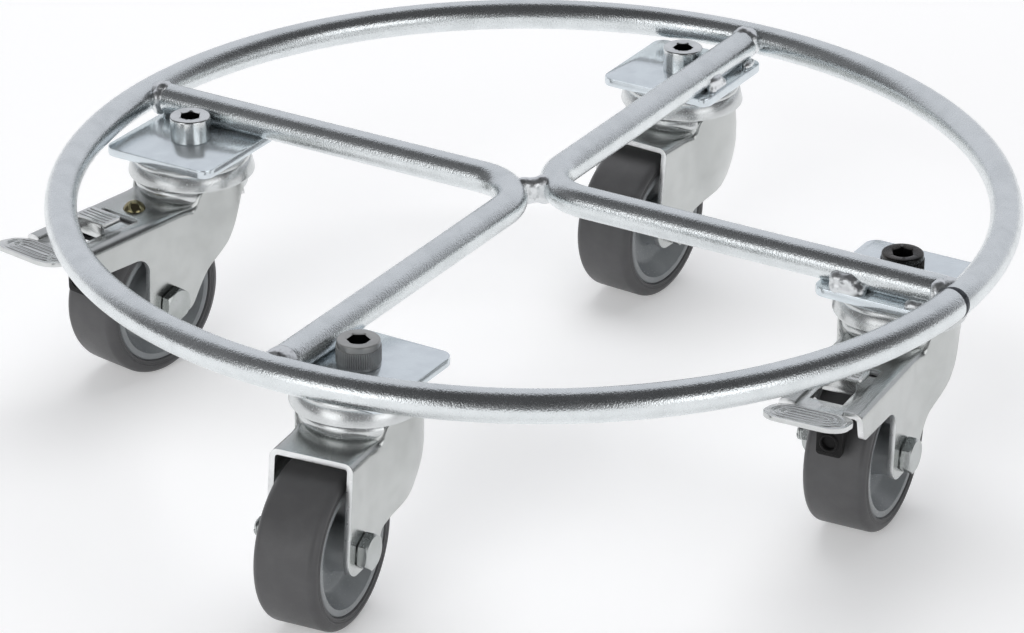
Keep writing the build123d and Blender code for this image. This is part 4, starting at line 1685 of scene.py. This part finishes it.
@dataclass
class Caster:
    """A swivel caster, with or without a brake."""

    growths: Growths
    place: Place
    look: ScrewLook

    def build(self) -> None:
        """Build the seat, fork, wheel, axle and brake, and paint the hidden pieces."""
        Seat(self.growths, self.place, self.look).build()
        Fork(self.place).build()
        Wheel(self.place).build()
        Axle(self.growths, self.place).build()
        hidden = ["bearing_cup", "ball_row", "axle_sleeve"]
        if self.place.braked:
            Brake(self.growths, self.place).build()
            hidden += ["pivot_pin", "detent_spring"]
        for node in hidden:
            paint(f"{self.place.name}_{node}", Finishes.BEARING)


# Studio


def swung(first: Vector, second: Vector, angle: float) -> tuple[Vector, Vector]:
    """Turn two square axes in their own plane, the first towards the second."""
    along, across = math.cos(angle), math.sin(angle)
    return along * first + across * second, along * second - across * first


@dataclass(frozen=True)
class Softbox:
    """A soft rectangular lamp aimed at the dolly."""

    name: str
    azimuth: float
    elevation: float
    distance: float
    size: Pair
    power: float


@dataclass
class Studio:
    """Pale floor, soft light and the camera."""

    view_azimuth: float = -59.6
    focal_pixels: float = 4038.66
    image_width: int = 1024
    sensor_width: float = 36.0
    clip: Pair = (0.05, 20.0)
    distance: float = 8.5875 * 0.145
    elevation: float = 24.325
    roll: float = 0.426
    yaw: float = -0.305
    pitch: float = -1.798
    turn: float = 30.4
    aim_height: float = 0.0754
    floor_size: float = 14.0
    floor_colour: Colour = (0.80, 0.80, 0.805)
    floor_stain: float = 0.99
    floor_patch: float = 900.0
    floor_glow: float = 0.32
    sky: Colour = (0.67, 0.68, 0.72)
    sky_edges: Pair = (-0.44, -0.26)
    dusk: Colour = (0.07, 0.07, 0.073)
    dusk_low: Colour = (0.18, 0.18, 0.184)
    dusk_rise: Pair = (0.12, 0.50)
    dusk_left: Colour = (0.15, 0.15, 0.155)
    left_edges: Pair = (-0.75, -0.35)
    strip: Colour = (1.7, 1.7, 1.72)
    strip_edges: tuple[float, float, float, float] = (20.0, 30.0, 54.0, 66.0)
    strip_top: Pair = (0.28, 0.50)
    boxes: tuple[Softbox, ...] = (
        Softbox("top_box", 180, 68, 1.6, (1.3, 1.3), 13.5),
        Softbox("front_box", -28, 30, 1.7, (0.9, 0.7), 7.0),
    )

    def build(self) -> None:
        """Set up the floor, the world, the lamps and the camera."""
        bpy.context.scene.view_settings.view_transform = "Standard"
        self.floor()
        self.world()
        for box in self.boxes:
            self.lamp(box)
        self.camera()

    def floor(self) -> None:
        """A wide pale floor with a faint unevenness of tone, which glows a little where it is seen."""
        bm = bmesh.new()
        bmesh.ops.create_grid(bm, x_segments=8, y_segments=8, size=self.floor_size / 2)
        ground = bpy.data.objects.new("studio_floor", to_mesh(bm, "studio_floor"))
        skin = bpy.data.materials.new("floor_finish")
        skin.use_nodes = True
        graph = Graph(skin.node_tree)
        patches = graph.noise(graph.add("ShaderNodeTexCoord").outputs["Object"], self.floor_patch)
        stain = tuple(c * self.floor_stain for c in self.floor_colour)
        shader = graph.add("ShaderNodeBsdfDiffuse", {"Color": graph.blend(patches, self.floor_colour, stain)})
        rays = graph.add("ShaderNodeLightPath").outputs
        seen = rays["Is Camera Ray"]
        for kind in ("Is Glossy Ray", "Is Transmission Ray"):
            seen = graph.calc("MAXIMUM", seen, rays[kind])
        glow = graph.add("ShaderNodeEmission", {"Strength": graph.calc("MULTIPLY", seen, self.floor_glow)})
        both = graph.add("ShaderNodeAddShader", {0: shader.outputs[0], 1: glow.outputs[0]})
        graph.add("ShaderNodeOutputMaterial", {"Surface": both.outputs[0]})
        ground.data.materials.append(skin)
        bpy.context.scene.collection.objects.link(ground)

    def world(self) -> None:
        """A bright backdrop behind the dolly, a dark room on the viewer's side and two low light strips."""
        world = bpy.data.worlds.new("studio_world")
        world.use_nodes = True
        bpy.context.scene.world = world
        graph = Graph(world.node_tree)
        coords = graph.add("ShaderNodeTexCoord").outputs["Generated"]
        azimuth = math.radians(self.view_azimuth)

        def along(x: float, y: float, z: float = 0.0) -> Socket:
            """How far a direction points along an axis."""
            inputs = {0: coords, 1: (x, y, z)}
            return graph.add("ShaderNodeVectorMath", inputs, operation="DOT_PRODUCT").outputs["Value"]

        facing, rise = along(math.cos(azimuth), math.sin(azimuth)), along(0.0, 0.0, 1.0)
        side = along(-math.sin(azimuth), math.cos(azimuth))
        angle = graph.calc("ABSOLUTE", graph.calc("ARCTAN2", side, facing))
        start, full, fade, end = (math.radians(a) for a in self.strip_edges)
        strip = graph.calc(
            "MULTIPLY", graph.remap(angle, (start, full), (0, 1)), graph.remap(angle, (fade, end), (1, 0))
        )
        strip = graph.calc("MULTIPLY", strip, graph.remap(rise, self.strip_top, (1, 0)))
        shade = graph.blend(graph.remap(rise, self.dusk_rise, (0, 1)), self.dusk_low, self.dusk)
        shade = graph.blend(graph.remap(side, self.left_edges, (1, 0)), shade, self.dusk_left)
        room = graph.blend(graph.remap(facing, self.sky_edges, (0, 1)), self.sky, shade)
        colour = graph.blend(strip, room, self.strip)
        light = graph.add("ShaderNodeBackground", {"Color": colour, "Strength": 1.0})
        graph.add("ShaderNodeOutputWorld", {"Surface": light.outputs[0]})

    def lamp(self, box: Softbox) -> None:
        """Hang one soft lamp, its azimuth counted from the viewer's side.

        Args:
            box: The lamp.
        """
        data = bpy.data.lights.new(box.name, "AREA")
        data.shape = "RECTANGLE"
        data.size, data.size_y = box.size
        data.energy = box.power
        azimuth, rise = math.radians(self.view_azimuth + box.azimuth), math.radians(box.elevation)
        flat = math.cos(rise)
        towards = Vector((math.cos(azimuth) * flat, math.sin(azimuth) * flat, math.sin(rise)))
        obj = bpy.data.objects.new(box.name, data)
        aim = towards.to_track_quat("Z", "Y").to_matrix().to_4x4()
        obj.matrix_world = Matrix.Translation(towards * box.distance) @ aim
        obj.visible_glossy = False
        bpy.context.scene.collection.objects.link(obj)

    def camera(self) -> None:
        """Stand the camera where the photograph was taken from."""
        angles = (self.elevation, self.roll, self.yaw, self.pitch)
        rise, roll, yaw, pitch = (math.radians(a) for a in angles)
        back = Vector((0, -math.cos(rise), math.sin(rise)))
        right, ahead = Vector((1, 0, 0)), -back
        right, up = swung(right, right.cross(ahead), roll)
        right, ahead = swung(right, ahead, -yaw)
        up, ahead = swung(up, ahead, -pitch)
        stand = Matrix((right, up, -ahead)).transposed().to_4x4()
        stand.translation = back * self.distance
        data = bpy.data.cameras.new("photo_camera")
        data.sensor_width = self.sensor_width
        data.lens = self.sensor_width * self.focal_pixels / self.image_width
        data.clip_start, data.clip_end = self.clip
        obj = bpy.data.objects.new("photo_camera", data)
        obj.matrix_world = Matrix.Translation((0, 0, self.aim_height)) @ spun(self.turn) @ stand
        bpy.context.scene.collection.objects.link(obj)
        bpy.context.scene.camera = obj


def main() -> None:
    """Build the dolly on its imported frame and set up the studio."""
    logging.basicConfig(level=logging.INFO, format="%(name)s: %(message)s")
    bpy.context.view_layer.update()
    growths = Growths()
    rods = RodFrame(growths)
    rods.build()
    Welds(growths, rods).build()
    looks = {
        "right": ScrewLook.BLACK,
        "rear": ScrewLook.BRIGHT,
        "left": ScrewLook.BRIGHT,
        "front": ScrewLook.KNURLED,
    }
    for name, look in looks.items():
        Caster(growths, Place.read(name), look).build()
    for node in ("king_pins", "swivel_nuts"):
        paint(node, Finishes.BEARING)
    Studio().build()


if __name__ == "__main__":
    main()
